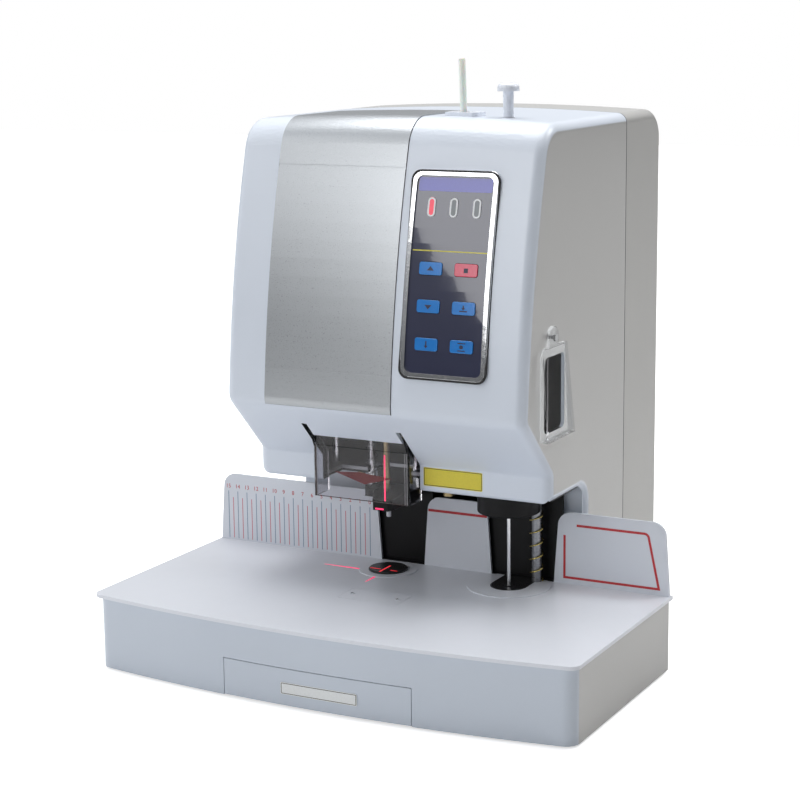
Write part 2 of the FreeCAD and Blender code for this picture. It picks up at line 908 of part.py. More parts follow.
def head_body(grow):
    """Solid of head and column with rounded folds, crowned top and rounded sides."""
    wire, corners, brow, top_back = head_outline(grow)
    half = head_half_width + grow
    face = Part.Face(wire)
    face.translate(Vector(-half, 0, 0))
    body = face.extrude(Vector(2 * half, 0, 0))
    lower_folds = [
        (corners[1], column_arch_radius - grow),
        (corners[2], lip_bottom_radius + grow),
        (corners[3], lip_top_radius + grow),
        (corners[4], fold_radius + grow),
    ]
    for point, radius in lower_folds:
        if radius > running_clearance:
            body = body.makeFillet(radius, edges_through(body, point))
    crown_radius = head_half_width ** 2 / (2 * head_crown)
    barrel = Part.makeCylinder(crown_radius + grow, 3 * back_plane,
                               Vector(0, -back_plane, head_top - crown_radius), Y_AXIS)
    body = body.common(barrel).removeSplitter()
    for point, radius in ((brow, brow_radius + grow), (top_back, back_top_radius + grow)):
        body = body.makeFillet(radius, edges_through(body, point))
    return body.makeFillet(head_side_radius + grow, side_edges(body, half))


def skin(grow_out, grow_in):
    """Layer of the head's skin between two distances from its outer surface."""
    return head_body(grow_out).cut(head_body(grow_in))


def face_frame(height):
    """Point on the leaning face at one height and the tilt of its normal from -Y, in degrees."""
    centre = face_centre()
    y = face_point_at(height, 0)
    tilt = math.degrees(math.atan2(centre.z - height, centre.y - y))
    return y, tilt


def on_face(shape, x, height):
    """Moves a shape drawn on the plane Y = 0 round the origin onto the leaning face."""
    y, tilt = face_frame(height)
    shape.rotate(Vector(0, 0, 0), X_AXIS, tilt)
    shape.translate(Vector(x, y, height))
    return shape


def face_slab(x0, x1, z0, z1, grow_in, grow_out):
    """Curved slab that follows the leaning face between two distances from it."""
    edges = []
    corners = []
    for grow in (grow_in, grow_out):
        low = Vector(x0, face_point_at(z0, grow), z0)
        middle_height = (z0 + z1) / 2
        middle = Vector(x0, face_point_at(middle_height, grow), middle_height)
        high = Vector(x0, face_point_at(z1, grow), z1)
        edges.append(Part.Arc(low, middle, high).toShape())
        corners.append((low, high))
    edges.append(Part.makeLine(corners[0][0], corners[1][0]))
    edges.append(Part.makeLine(corners[0][1], corners[1][1]))
    face = Part.Face(Part.Wire(Part.__sortEdges__(edges)))
    return face.extrude(Vector(x1 - x0, 0, 0))


def panel_prism(inset, radius):
    """Straight prism through the face with the panel's rounded outline."""
    return rounded_block_along_y(panel_left + inset, panel_right - inset, panel_foot + inset,
                                 panel_top - inset, -fold_front - 4 * overrun, 0, radius)


def panel_layer(inset, grow_in, grow_out):
    slab = face_slab(panel_left - overrun, panel_right + overrun, panel_foot - overrun,
                     panel_top + overrun, grow_in, grow_out)
    return slab.common(panel_prism(inset, panel_radius - inset / 2))


def insert_band(margin):
    """Everything within the bright insert's outline, from its foot over the top."""
    front = box(insert_left - margin, insert_right + margin, -2 * fold_front, insert_back + margin,
                insert_foot - margin, head_top + 4 * overrun)
    return front.cut(box(insert_left - overrun, insert_right + overrun, 0, back_plane,
                         insert_foot - overrun, head_top - 4 * overrun))


def guard_window(margin):
    """Cut-out of lip and chin in front of the drill, with a slot for each guard arm."""
    left = guard_left - cutout_gap - margin
    right = guard_right + cutout_gap + margin
    ear_slot = cutout_gap + guard_thickness + pin_head_height + seam_gap
    opening = box(left, right, -2 * fold_front, -lip_front + 2 * head_wall,
                  head_underside - 2 * overrun, cutout_top)
    for x in (left, right - ear_slot):
        opening = opening.fuse(box(x, x + ear_slot, -2 * fold_front,
                                   -lip_front, cutout_top - overrun, ear_slot_top))
    return opening


def side_window(margin):
    """Rounded hand opening in the right side of the head."""
    return rounded_block_along_x(side_window_front - margin, side_window_back + margin,
                                 side_window_foot - margin, side_window_top + margin,
                                 cheek_inner + 2 * cheek_thickness, head_half_width + overrun,
                                 side_window_radius + margin)


def make_front_shell():
    shell = skin(0, -head_wall)
    above_table = box(-table_width, table_width, -table_width, seam_plane - seam_width / 2,
                      table_top, 2 * head_top)
    shell = shell.common(above_table)
    inner_half = head_half_width - head_wall
    shell = shell.cut(box(-inner_half, inner_half, -lip_front + head_wall,
                          column_front + 2 * head_wall, head_underside - column_arch_radius,
                          head_underside + 2 * head_wall))
    shell = shell.fuse(box(-inner_half - running_clearance, inner_half + running_clearance,
                           column_front, column_front + head_wall,
                           head_underside - 2 * column_arch_radius, floor_bottom))
    shell = shell.cut(box(drill_x - drill_throat_half, press_x + press_throat_half,
                          column_front - overrun, column_front + overrun,
                          table_top + overrun, head_underside - 2 * overrun))
    shell = shell.cut(guard_window(0))
    shell = shell.cut(side_window(0))
    shell = shell.cut(panel_prism(bezel_width / 2 + running_clearance, panel_radius / 2))
    recess = skin(insert_proud, -insert_depth).common(insert_band(seam_gap / 2))
    shell = shell.cut(recess)
    shell = shell.cut(rod(press_x, station_line, head_top - 4 * overrun, head_top + 4 * overrun,
                          knob_hole_radius))
    shell = shell.cut(rod(inlet_x, station_line, head_top - 4 * overrun, head_top + 4 * overrun,
                          inlet_spigot_radius))
    thick_lip = skin(running_clearance - head_wall, -head_wall - seam_lip_thickness)
    thin_lip = skin(-head_wall - loose_clearance, -head_wall - seam_lip_thickness)
    above = box(-table_width, table_width, seam_plane - seam_lip_depth, seam_plane - seam_width,
                table_top, 2 * head_top)
    behind = box(-table_width, table_width, seam_plane - seam_width,
                 seam_plane + seam_lip_depth, table_top, 2 * head_top)
    lip = thick_lip.common(above).fuse(thin_lip.common(behind))
    shell = shell.fuse(lip)
    for side in (-1, 1):
        shell = shell.fuse(guard_boss(side))
    shell = shell.cut(rod_along_x(cheek_inner, head_half_width + overrun, side_cover_tab_y,
                                  side_cover_tab_z, screw_shank_radius))
    shell = shell.cut(rod_along_x(guard_left - 2 * boss_width, guard_right + 2 * boss_width,
                                  guard_pivot_y, guard_pivot_z, screw_shank_radius))
    return shell.removeSplitter()


def guard_boss(side):
    """Small boss inside the head for each guard screw, beside the cut-out."""
    edge = guard_right + cutout_gap if side > 0 else guard_left - cutout_gap
    start = edge if side > 0 else edge - boss_width
    boss = rod_along_x(start, start + boss_width, guard_pivot_y, guard_pivot_z, boss_radius)
    return boss.common(head_body(-running_clearance))


def make_rear_shell():
    shell = skin(0, -head_wall)
    shell = shell.common(box(-table_width, table_width, seam_plane + seam_width / 2,
                             2 * back_plane, 0, 2 * head_top))
    for index in range(vent_count):
        foot = vent_foot + index * vent_pitch
        shell = shell.cut(rounded_block_along_y(-vent_half_width, vent_half_width, foot,
                                                foot + vent_height, back_plane - 2 * overrun,
                                                back_plane + overrun, vent_height * vent_end_share))
    half_width = inlet_box_width / 2
    half_height = inlet_box_height / 2
    shell = shell.cut(box(inlet_box_x - half_width, inlet_box_x + half_width,
                          back_plane - 2 * overrun, back_plane + overrun,
                          inlet_box_z - half_height, inlet_box_z + half_height))
    half_switch = switch_width / 2 + switch_wall
    shell = shell.cut(box(switch_x - half_switch, switch_x + half_switch,
                          back_plane - 2 * overrun, back_plane + overrun,
                          inlet_box_z - switch_half_height, inlet_box_z + switch_half_height))
    return shell.cut(inlet_flange_block(loose_clearance, back_plane + overrun))


def floor_window(margin):
    """Opening for guard, chuck and pressure foot in the plates under the head."""
    front = box(floor_window_left - margin, floor_window_right + margin, -lip_front - overrun,
                floor_window_back, floor_bottom - overrun, shelf_bottom + 2 * overrun)
    rear = box(drill_x - foot_block_half - 2 * margin, drill_x + foot_block_half + margin,
               -lip_front - overrun, foot_block_back + margin, floor_bottom - overrun,
               shelf_bottom + 2 * overrun)
    return front.fuse(rear).removeSplitter()


def station_bores(z0, z1):
    """Bores through the plates for rods, ram, spring, tube and screws."""
    ram_bore = rod(press_x, station_line, z0, z1, ram_radius + 2 * seam_gap)
    post_bore = rod(post_x, post_y, z0, z1, post_radius)
    spring_bore = rod(shaft_xs[1], shaft_y, z0, z1, collar_radius + seam_gap)
    tube_bore_hole = rod(outlet_x, station_line, z0, z1, outlet_radius)
    return [ram_bore, post_bore, spring_bore, tube_bore_hole]


def make_head_floor():
    grow = -head_wall - seam_gap / 2
    half = head_half_width + grow
    plate = rounded_block(-half, half, -lip_front - grow, column_front - seam_gap,
                          floor_bottom, floor_bottom + floor_thickness, head_side_radius)
    plate = plate.cut(floor_window(seam_gap))
    for bore in station_bores(floor_bottom - overrun, floor_bottom + overrun):
        plate = plate.cut(bore)
    shaft_bore = rod(shaft_xs[0], shaft_y, floor_bottom - overrun, floor_bottom + overrun,
                     shaft_radius)
    block_bore = rod(press_x, station_line, floor_bottom - overrun, floor_bottom + overrun,
                     press_block_radius + 2 * seam_gap)
    return plate.cut(shaft_bore).cut(block_bore)


def make_front_insert():
    band = skin(insert_proud, -insert_depth).common(insert_band(-seam_gap / 2))
    groove = skin(2 * insert_proud, insert_proud - insert_groove_depth)
    for height in (panel_foot, panel_top):
        slot = box(insert_left, insert_right, -2 * fold_front, 0,
                   height - insert_groove_width / 2, height + insert_groove_width / 2)
        band = band.cut(groove.common(slot))
    return band.removeSplitter()


def make_panel_bezel():
    flange = panel_layer(0, 0, bezel_proud)
    rims = []
    for edge in flange.Edges:
        middle = edge.valueAt((edge.FirstParameter + edge.LastParameter) / 2)
        outer_y = face_point_at(middle.z, bezel_proud)
        if abs(middle.y - outer_y) < running_clearance:
            rims.append(edge)
    flange = flange.makeFillet(bezel_round, rims)
    plug = panel_layer(bezel_width / 2 + 2 * running_clearance, -head_wall - panel_sink,
                       running_clearance)
    ring = flange.fuse(plug)
    return ring.cut(panel_prism(bezel_width, panel_radius - bezel_width / 2)).removeSplitter()


def key_block(width, height, radius, depth, proud):
    return rounded_block_along_y(-width / 2, width / 2, -height / 2, height / 2, -proud, depth,
                                 radius)


def make_key(x, height):
    cap = key_block(key_width, key_height, key_radius, key_sink, key_proud)
    rim = [edge for edge in cap.Edges if edge.BoundBox.YMax < -key_proud + running_clearance]
    return on_face(cap.makeFillet(key_proud / 4, rim), x, height)


def panel_places(shares, start, size):
    """Places along the panel's width or height, given as shares of it."""
    return [start + share * size for share in shares]


def lamp_places():
    height = panel_foot + lamp_row_share * panel_height
    return [(x, height) for x in panel_places(lamp_column_shares, panel_left, panel_width)]


def make_panel_plate():
    plate = panel_layer(bezel_width + running_clearance, -head_wall - panel_sink, plate_proud)
    for x in panel_places(key_column_shares, panel_left, panel_width):
        for height in panel_places(key_row_shares, panel_foot, panel_height):
            hole = key_block(key_width + 2 * key_gap, key_height + 2 * key_gap,
                             key_radius + key_gap, 4 * overrun, 2 * overrun)
            plate = plate.cut(on_face(hole, x, height))
    for x, height in lamp_places():
        hole = key_block(lamp_width, lamp_height, lamp_width * lamp_end_share, 4 * overrun, 2 * overrun)
        plate = plate.cut(on_face(hole, x, height))
    return plate


def make_indicator_lamps():
    lamps = []
    for x, height in lamp_places():
        lamp = key_block(lamp_width, lamp_height, lamp_width * lamp_end_share, head_wall, lamp_proud)
        lamps.append(on_face(lamp, x, height))
    return Part.makeCompound(lamps)


def make_circuit_board():
    depth = head_wall + panel_sink + board_gap
    middle = (panel_foot + panel_top) / 2
    half_x = (panel_right - panel_left) / 2 - board_margin
    half_z = (panel_top - panel_foot) / 2 - board_margin
    board = key_block(2 * half_x, 2 * half_z, key_radius, board_thickness, 0)
    board.translate(Vector(0, depth, 0))
    for x in (-half_x + board_margin / 2, half_x - board_margin / 2):
        for z in (-half_z + board_margin / 2, half_z - board_margin / 2):
            post = Part.makeCylinder(board_post_radius, board_gap + head_wall,
                                     Vector(x, panel_sink, z), Y_AXIS)
            board = board.fuse(post)
    placed = on_face(board, (panel_left + panel_right) / 2, middle)
    return placed.cut(panel_layer(-overrun, -head_wall - panel_sink, 2 * overrun))


def make_drill_guard():
    """Clear channel: front plate, two sides, and an arm at each end up to its pivot."""
    plate = box(guard_left, guard_right, guard_plane, guard_plane + guard_thickness,
                guard_foot, guard_shoulder)
    back = guard_plane + guard_side_depth
    side_points = [
        (guard_plane, guard_foot),
        (guard_plane, guard_shoulder),
        (guard_pivot_y - guard_arm_radius, guard_pivot_z),
        (guard_pivot_y, guard_pivot_z + guard_arm_radius),
        (guard_pivot_y + guard_arm_radius, guard_pivot_z),
        (back, guard_side_top),
        (back, guard_foot),
    ]
    guard = plate
    for x in (guard_left, guard_right - guard_thickness):
        guard = guard.fuse(extrude_yz(side_points, x, x + guard_thickness))
        bore = rod_along_x(x - overrun, x + overrun, guard_pivot_y, guard_pivot_z,
                           screw_shank_radius + loose_clearance)
        guard = guard.cut(bore)
    guard = guard.removeSplitter()
    corners = []
    for edge in vertical_edges(guard):
        if edge.BoundBox.YMax < guard_plane + running_clearance:
            corners.append(edge)
    return guard.makeFillet(guard_corner_radius / 2, corners)


def make_pivot_screws():
    """One flat-headed screw at each guard pivot and one that holds the side cover."""
    screws = []
    for side in (-1, 1):
        wall = guard_right + cutout_gap if side > 0 else guard_left - cutout_gap
        inner = guard_right - guard_thickness if side > 0 else guard_left + guard_thickness
        head_start = inner - side * loose_clearance
        head_end = head_start - side * pin_head_height
        tip = wall + side * boss_width
        head = rod_along_x(min(head_start, head_end), max(head_start, head_end),
                           guard_pivot_y, guard_pivot_z, screw_head_radius)
        shank = rod_along_x(min(head_start, tip), max(head_start, tip),
                            guard_pivot_y, guard_pivot_z, screw_shank_radius)
        screws.append(head.fuse(shank).removeSplitter())
    outside = head_half_width + side_cover_rise + side_cover_depth_top + loose_clearance
    head = rod_along_x(outside, outside + screw_head_height, side_cover_tab_y,
                       side_cover_tab_z, screw_head_radius)
    shank = rod_along_x(head_half_width - 2 * head_wall, outside, side_cover_tab_y,
                        side_cover_tab_z, screw_shank_radius)
    screws.append(head.fuse(shank).removeSplitter())
    return Part.makeCompound(screws)


def side_cover_block(inset):
    """Lid with a round tab above and an outer face that stands out more towards its foot."""
    front = side_cover_front + inset
    back_foot = side_cover_back_foot - inset
    back_top = side_cover_back_top - inset
    points = [
        (front, side_cover_foot + inset),
        (back_foot, side_cover_foot + inset),
        (back_top, side_cover_shoulder - inset),
        (front + side_cover_corner, side_cover_shoulder - inset),
        (front, side_cover_shoulder - side_cover_corner - inset),
    ]
    inner = head_half_width + side_cover_rise
    outer = inner + side_cover_depth_foot - inset
    lid = extrude_yz(points, inner - inset, outer)
    slope = [
        (inner + side_cover_depth_top - inset, side_cover_shoulder - inset),
        (inner + side_cover_depth_top - inset, head_top),
        (outer + overrun, head_top),
        (outer + overrun, side_cover_foot),
        (outer, side_cover_foot),
    ]
    return lid.cut(extrude_xz(slope, -fold_front, column_front))


def make_side_cover():
    inner = head_half_width + side_cover_rise
    lid = side_cover_block(0)
    tab = rod_along_x(inner, inner + side_cover_depth_top, side_cover_tab_y, side_cover_tab_z,
                      side_cover_tab_radius)
    neck = box(inner, inner + side_cover_depth_top, side_cover_tab_y - side_cover_tab_radius,
               side_cover_tab_y + side_cover_tab_radius, side_cover_shoulder - overrun,
               side_cover_tab_z)
    lid = lid.fuse(tab).fuse(neck).removeSplitter()
    lid = lid.cut(side_cover_block(side_cover_wall))
    return lid.cut(rod_along_x(inner - overrun, inner + 2 * overrun, side_cover_tab_y,
                               side_cover_tab_z, screw_shank_radius + loose_clearance))


# Frame inside the machine


def cheek_profile():
    """C-shaped side plate: a tall column part and an arm that reaches over the table."""
    arm_top = crown_plate_top + cheek_crown_rise
    return [
        (cheek_throat, chassis_bottom + chassis_thickness),
        (cheek_throat, cheek_arm_foot),
        (cheek_front, cheek_arm_foot),
        (cheek_front, arm_top),
        (cheek_throat, arm_top + cheek_crown_rise / 2),
        (cheek_back, arm_top + cheek_crown_rise / 2),
        (cheek_back, chassis_bottom + chassis_thickness),
    ]


def make_main_frame():
    """Two cheeks joined by a crown plate, a shelf and a rear web."""
    inner = cheek_inner
    outer = cheek_inner + cheek_thickness
    whole = extrude_yz(cheek_profile(), inner, outer)
    whole = whole.fuse(extrude_yz(cheek_profile(), -outer, -inner))
    hole_y = (plate_back + cheek_back) / 2
    for z in (2 * cheek_hole_radius, 4 * cheek_hole_radius + cheek_crown_rise,
              crown_plate_bottom - cheek_hole_radius):
        whole = whole.cut(rod_along_x(-2 * outer, 2 * outer, hole_y, z, cheek_hole_radius))
    for z, thickness in ((crown_plate_bottom, crown_plate_thickness),
                         (shelf_bottom, shelf_thickness)):
        whole = whole.fuse(box(-inner, inner, cheek_front, plate_back, z, z + thickness))
    web = box(-inner, inner, cheek_back - cheek_thickness, cheek_back,
              2 * web_window_margin, crown_plate_bottom)
    window = rounded_block_along_y(web_window_margin - inner, inner - web_window_margin,
                                   3 * web_window_margin, crown_plate_bottom - web_window_margin,
                                   cheek_throat, back_plane, cheek_corner)
    whole = whole.fuse(web.cut(window)).removeSplitter()
    shelf_low = shelf_bottom - overrun
    whole = whole.cut(floor_window(seam_gap))
    for bore in station_bores(shelf_low, shelf_bottom + overrun):
        whole = whole.cut(bore)
    whole = whole.cut(rod(press_x, station_line, shelf_low, shelf_bottom + overrun,
                          press_block_radius + 2 * seam_gap))
    for x, y in shaft_places():
        whole = whole.cut(rod(x, y, shelf_low, crown_plate_bottom + 2 * overrun, shaft_radius))
    for x, y, radius in screw_places():
        whole = whole.cut(rod(x, y, shelf_bottom - overrun, crown_plate_bottom + 2 * overrun,
                              radius + running_clearance))
    crown_low = crown_plate_bottom - overrun
    crown_high = crown_plate_bottom + 2 * overrun
    whole = whole.cut(rod(outlet_x, station_line, crown_low, crown_high, outlet_radius))
    whole = whole.cut(rod(press_x, station_line, crown_low, crown_high,
                          knob_stem_radius + seam_gap))
    return whole.removeSplitter()


def shaft_places():
    return [(shaft_xs[0], shaft_y), (drill_screw_x, second_shaft_y)]


def screw_places():
    return [(drill_screw_x, drill_screw_y, drill_screw_radius),
            (press_x, press_screw_y, press_screw_radius)]


def make_drill_shafts():
    first, second = shaft_places()
    top = crown_plate_top
    low = rod(first[0], first[1], floor_bottom - overrun, top, shaft_radius)
    short = rod(second[0], second[1], shelf_bottom, top, shaft_radius)
    return Part.makeCompound([low, short])


def make_lead_screw(place, thread_radius):
    """Screw between shelf and crown plate, with a collar at each end and a drive stub."""
    x, y, radius = place
    shelf_top = shelf_bottom + shelf_thickness
    core = rod(x, y, shelf_bottom + running_clearance,
               crown_plate_top + lift_motor_cap, radius)
    foot = rod(x, y, shelf_top + running_clearance, shelf_top + collar_height,
               radius + thread_radius)
    head = rod(x, y, crown_plate_bottom - collar_height, crown_plate_bottom - running_clearance,
               radius + thread_radius)
    return fused([core, foot, head])


def make_lift_motor(place):
    """Geared motor on the crown plate; the screw's upper end turns in its socket."""
    x, y, radius = place
    bottom = crown_plate_top
    top = bottom + lift_gearbox_height
    gearbox = rod(x, y, bottom, top, lift_gearbox_radius)
    motor = rod(x, y, top, top + lift_motor_height, lift_motor_radius)
    cap = rod(x, y, top + lift_motor_height, top + lift_motor_height + lift_motor_cap,
              lift_motor_radius / 2)
    socket = rod(x, y, bottom - overrun, bottom + lift_motor_cap + running_clearance,
                 radius + running_clearance)
    return fused([gearbox, motor, cap]).cut(socket)


# Drill unit


def make_drill_carriage():
    bottom = carriage_bottom
    top = carriage_top
    plate = rounded_block(carriage_left, carriage_right, carriage_front, carriage_back,
                          bottom, top, carriage_corner)
    tail = rounded_block(drill_x - carriage_tail_half, carriage_right, shaft_y,
                         carriage_tail_back, bottom, top, carriage_corner)
    housing = rod(drill_x, station_line, housing_bottom, housing_top, housing_radius)
    whole = fused([plate, tail, housing])
    whole = whole.cut(rod(drill_x, station_line, housing_bottom - overrun,
                          housing_top + overrun, bearing_inner + bearing_ring))
    for z in bearing_floors():
        whole = whole.cut(rod(drill_x, station_line, z, z + bearing_width, bearing_outer))
    whole = whole.cut(rod(drill_x, station_line, housing_bottom - overrun,
                          housing_bottom + running_clearance, bearing_outer))
    for x, y in shaft_places():
        whole = whole.cut(rod(x, y, bottom - overrun, top + overrun,
                              shaft_radius + running_clearance))
    for x, y, radius in screw_places()[:1]:
        whole = whole.cut(rod(x, y, bottom - overrun, top + overrun, radius + running_clearance))
    for x, y in foot_rod_places():
        whole = whole.cut(rod(x, y, bottom - overrun, top + overrun,
                              shaft_radius + running_clearance))
    return whole


def bearing_floors():
    """Lower faces of the two ball bearings, one at each end of the housing."""
    return [housing_bottom, housing_top - bearing_width]


def foot_rod_places():
    """Spring rod at the left of the drill and a plain rod at its right."""
    return [(shaft_xs[1], shaft_y), (drill_x + foot_block_half - foot_bore, foot_rod_y)]


def make_spindle_bearings():
    """Two closed ball bearings, each with a step between its rings and its shields."""
    bearings = []
    for z in bearing_floors():
        ring = rod(drill_x, station_line, z, z + bearing_width, bearing_outer)
        ring = ring.cut(rod(drill_x, station_line, z - overrun, z + 2 * overrun,
                            bearing_inner + running_clearance))
        for face in (z, z + bearing_width - bearing_shield_step):
            shield = rod(drill_x, station_line, face, face + bearing_shield_step,
                         bearing_outer - bearing_ring)
            core = rod(drill_x, station_line, face, face + bearing_shield_step,
                       bearing_inner + bearing_ring)
            ring = ring.cut(shield.cut(core))
        bearings.append(ring)
    return Part.makeCompound(bearings)


def pulley(x, y, radius, bore):
    """Belt pulley with a flange above and below its belt face."""
    low = rod(x, y, pulley_bottom, pulley_bottom + pulley_flange, radius + pulley_flange_rise)
    high = pulley_bottom + pulley_height - pulley_flange
    rim = rod(x, y, high, high + pulley_flange, radius + pulley_flange_rise)
    drum = rod(x, y, pulley_bottom, pulley_bottom + pulley_height, radius)
    wheel = fused([drum, low, rim])
    return wheel.cut(rod(x, y, pulley_bottom - overrun, pulley_bottom + 4 * overrun, bore))


def make_drill_spindle():
    """Hollow spindle with its drill chuck below and its belt pulley above."""
    shaft = rod(drill_x, station_line, spindle_bottom, spindle_top, bearing_inner)
    chuck_top = housing_bottom - bearing_shield_step
    nose = cone(drill_x, station_line, chuck_bottom, chuck_bottom + chuck_taper,
                chuck_radius - chuck_taper / 2, chuck_radius)
    chuck = rod(drill_x, station_line, chuck_bottom + chuck_taper, chuck_top, chuck_radius)
    neck = rod(drill_x, station_line, chuck_top, housing_bottom, bearing_inner + running_clearance)
    wheel = pulley(drill_x, station_line, spindle_pulley_radius, spindle_bore)
    body = fused([shaft, nose, chuck, neck, wheel])
    body = body.cut(rod(drill_x, station_line, chuck_bottom - overrun, chuck_bottom + bit_shank_height,
                        bit_radius))
    return body.cut(rod(drill_x, station_line, chuck_bottom - overrun, spindle_top + overrun,
                        spindle_bore))


def make_hollow_drill():
    """Hollow drill: chips rise through its bore; the mouth is ground to an edge."""
    shaft = rod(drill_x, station_line, bit_tip, chuck_bottom + bit_shank_height, bit_radius)
    mouth = cone(drill_x, station_line, bit_tip - running_clearance, bit_tip + bit_tip_height,
                 bit_radius - running_clearance, spindle_bore)
    bore = rod(drill_x, station_line, bit_tip, chuck_bottom + 2 * bit_shank_height, spindle_bore)
    return shaft.cut(bore).cut(mouth)


def make_drill_motor():
    bottom = carriage_top
    can = rod(drill_x, motor_y, bottom, bottom + motor_height, motor_radius)
    boss = rod(drill_x, motor_y, bottom + motor_height,
               bottom + motor_height + motor_boss_height, motor_boss_radius)
    motor = can.fuse(boss).removeSplitter()
    top = bottom + motor_height
    motor = motor.cut(rod(drill_x, motor_y, top - overrun, top + 2 * overrun,
                          motor_shaft_radius + running_clearance))
    ring_radius_of_vents = (motor_radius + motor_boss_radius) / 2
    for index in range(motor_vent_count):
        angle = 2 * math.pi * index / motor_vent_count
        motor = motor.cut(rod(drill_x + ring_radius_of_vents * math.cos(angle),
                              motor_y + ring_radius_of_vents * math.sin(angle),
                              top - motor_boss_height, top + overrun, motor_vent_radius))
    return motor


def make_motor_pulley():
    top = carriage_top + motor_height
    shaft = rod(drill_x, motor_y, top - overrun + running_clearance,
                pulley_bottom + pulley_height + lift_motor_cap, motor_shaft_radius)
    wheel = pulley(drill_x, motor_y, motor_pulley_radius, motor_shaft_radius)
    return shaft.fuse(wheel).removeSplitter()


def belt_outline(grow, z0, z1):
    """Plan inside the belt's path round both pulleys, grown by one distance."""
    big = spindle_pulley_radius + grow
    small = motor_pulley_radius + grow
    span = motor_y - station_line
    lean = math.asin((big - small) / span)
    along = math.sin(lean)
    across = math.cos(lean)
    points = [
        (drill_x + big * across, station_line + big * along),
        (drill_x + small * across, motor_y + small * along),
        (drill_x - small * across, motor_y + small * along),
        (drill_x - big * across, station_line + big * along),
    ]
    middle = extrude_xy(points, z0, z1)
    ends = [rod(drill_x, station_line, z0, z1, big), rod(drill_x, motor_y, z0, z1, small)]
    return middle.fuse(ends[0]).fuse(ends[1]).removeSplitter()


def make_drive_belt():
    bottom = pulley_bottom + pulley_flange + belt_clearance
    top = pulley_bottom + pulley_height - pulley_flange - belt_clearance
    outer = belt_outline(running_clearance + belt_thickness, bottom, top)
    return outer.cut(belt_outline(running_clearance, bottom - overrun, top + overrun))


def make_drill_foot():
    """Pressure foot: a block round the drill, an ear for the spring rod, and both rods."""
    top = foot_block_bottom + foot_block_height
    left = drill_x - foot_block_half
    right = drill_x + foot_block_half
    points = [
        (left, foot_block_back),
        (left, foot_block_front + foot_block_nose),
        (left + foot_block_nose, foot_block_front),
        (right - foot_block_nose, foot_block_front),
        (right, foot_block_front + foot_block_nose),
        (right, foot_block_back),
    ]
    block = extrude_xy(points, foot_block_bottom, top)
    ear = rod(shaft_xs[1], shaft_y, foot_block_bottom, top, collar_radius)
    bridge = box(shaft_xs[1], left + overrun, shaft_y - collar_radius, shaft_y + collar_radius,
                 foot_block_bottom, top)
    parts = [block, ear, bridge]
    for x, y in foot_rod_places():
        parts.append(rod(x, y, top - overrun, foot_rod_top, shaft_radius))
    foot = fused(parts)
    return foot.cut(rod(drill_x, station_line, foot_block_bottom - overrun, top + overrun,
                        foot_bore))


def make_line_lasers():
    """One laser behind the drill's left side and one at its right, aimed at the drill's line."""
    places = ((drill_x - side_laser_offset, station_line + side_laser_behind),
              (drill_x + near_laser_offset, station_line + near_laser_behind))
    lasers = []
    for x, y in places:
        body = rod(x, y, floor_bottom - laser_length, floor_bottom, laser_radius)
        body = body.cut(rod(x, y, floor_bottom - laser_length - overrun,
                            floor_bottom - laser_length + laser_lens_depth, laser_lens_radius))
        lasers.append(body)
    return Part.makeCompound(lasers)


# Springs


def coil_path(x, y, z0, z1, radius, turns):
    """Coil centre line of arc pairs, each pair a quarter turn, tangent to the helix throughout."""
    steps = int(round(4 * turns))
    angle = math.pi / 2
    pitch_per_step = (z1 - z0) / steps
    edges = []
    for index in range(steps):
        start = index * angle
        p0 = helix_point(x, y, z0, radius, pitch_per_step, start)
        p1 = helix_point(x, y, z0, radius, pitch_per_step, start + angle)
        t0 = helix_tangent(radius, pitch_per_step, start)
        t1 = helix_tangent(radius, pitch_per_step, start + angle)
        edges.extend(arc_pair(p0, t0, p1, t1))
    return Part.Wire(edges)


def helix_point(x, y, z0, radius, step_rise, angle):
    rise = step_rise * angle / (math.pi / 2)
    return Vector(x + radius * math.cos(angle), y + radius * math.sin(angle), z0 + rise)


def helix_tangent(radius, step_rise, angle):
    rise = step_rise / (math.pi / 2)
    tangent = Vector(-radius * math.sin(angle), radius * math.cos(angle), rise)
    return tangent.normalize()


def arc_pair(p0, t0, p1, t1):
    """Two arcs that leave p0 along t0, meet smoothly, and reach p1 along t1."""
    chord = p1 - p0
    sum_of_tangents = t0 + t1
    a = 2 * (1 - t0.dot(t1))
    b = 2 * chord.dot(sum_of_tangents)
    c = -chord.dot(chord)
    reach = (-b + math.sqrt(b * b - 4 * a * c)) / (2 * a)
    q0 = p0 + t0 * reach
    q1 = p1 - t1 * reach
    joint = (q0 + q1) * (1 / 2)
    return [tangent_arc(p0, t0, joint), tangent_arc(p1, t1 * -1, joint)]


def tangent_arc(start, tangent, end):
    """Arc from start to end whose direction at start is the tangent."""
    chord = end - start
    side = chord - tangent * chord.dot(tangent)
    side = side.normalize()
    radius = chord.dot(chord) / (2 * chord.dot(side))
    centre = start + side * radius
    middle = (start + end) * (1 / 2) - centre
    middle = centre + middle.normalize() * radius
    return Part.Arc(start, middle, end).toShape()


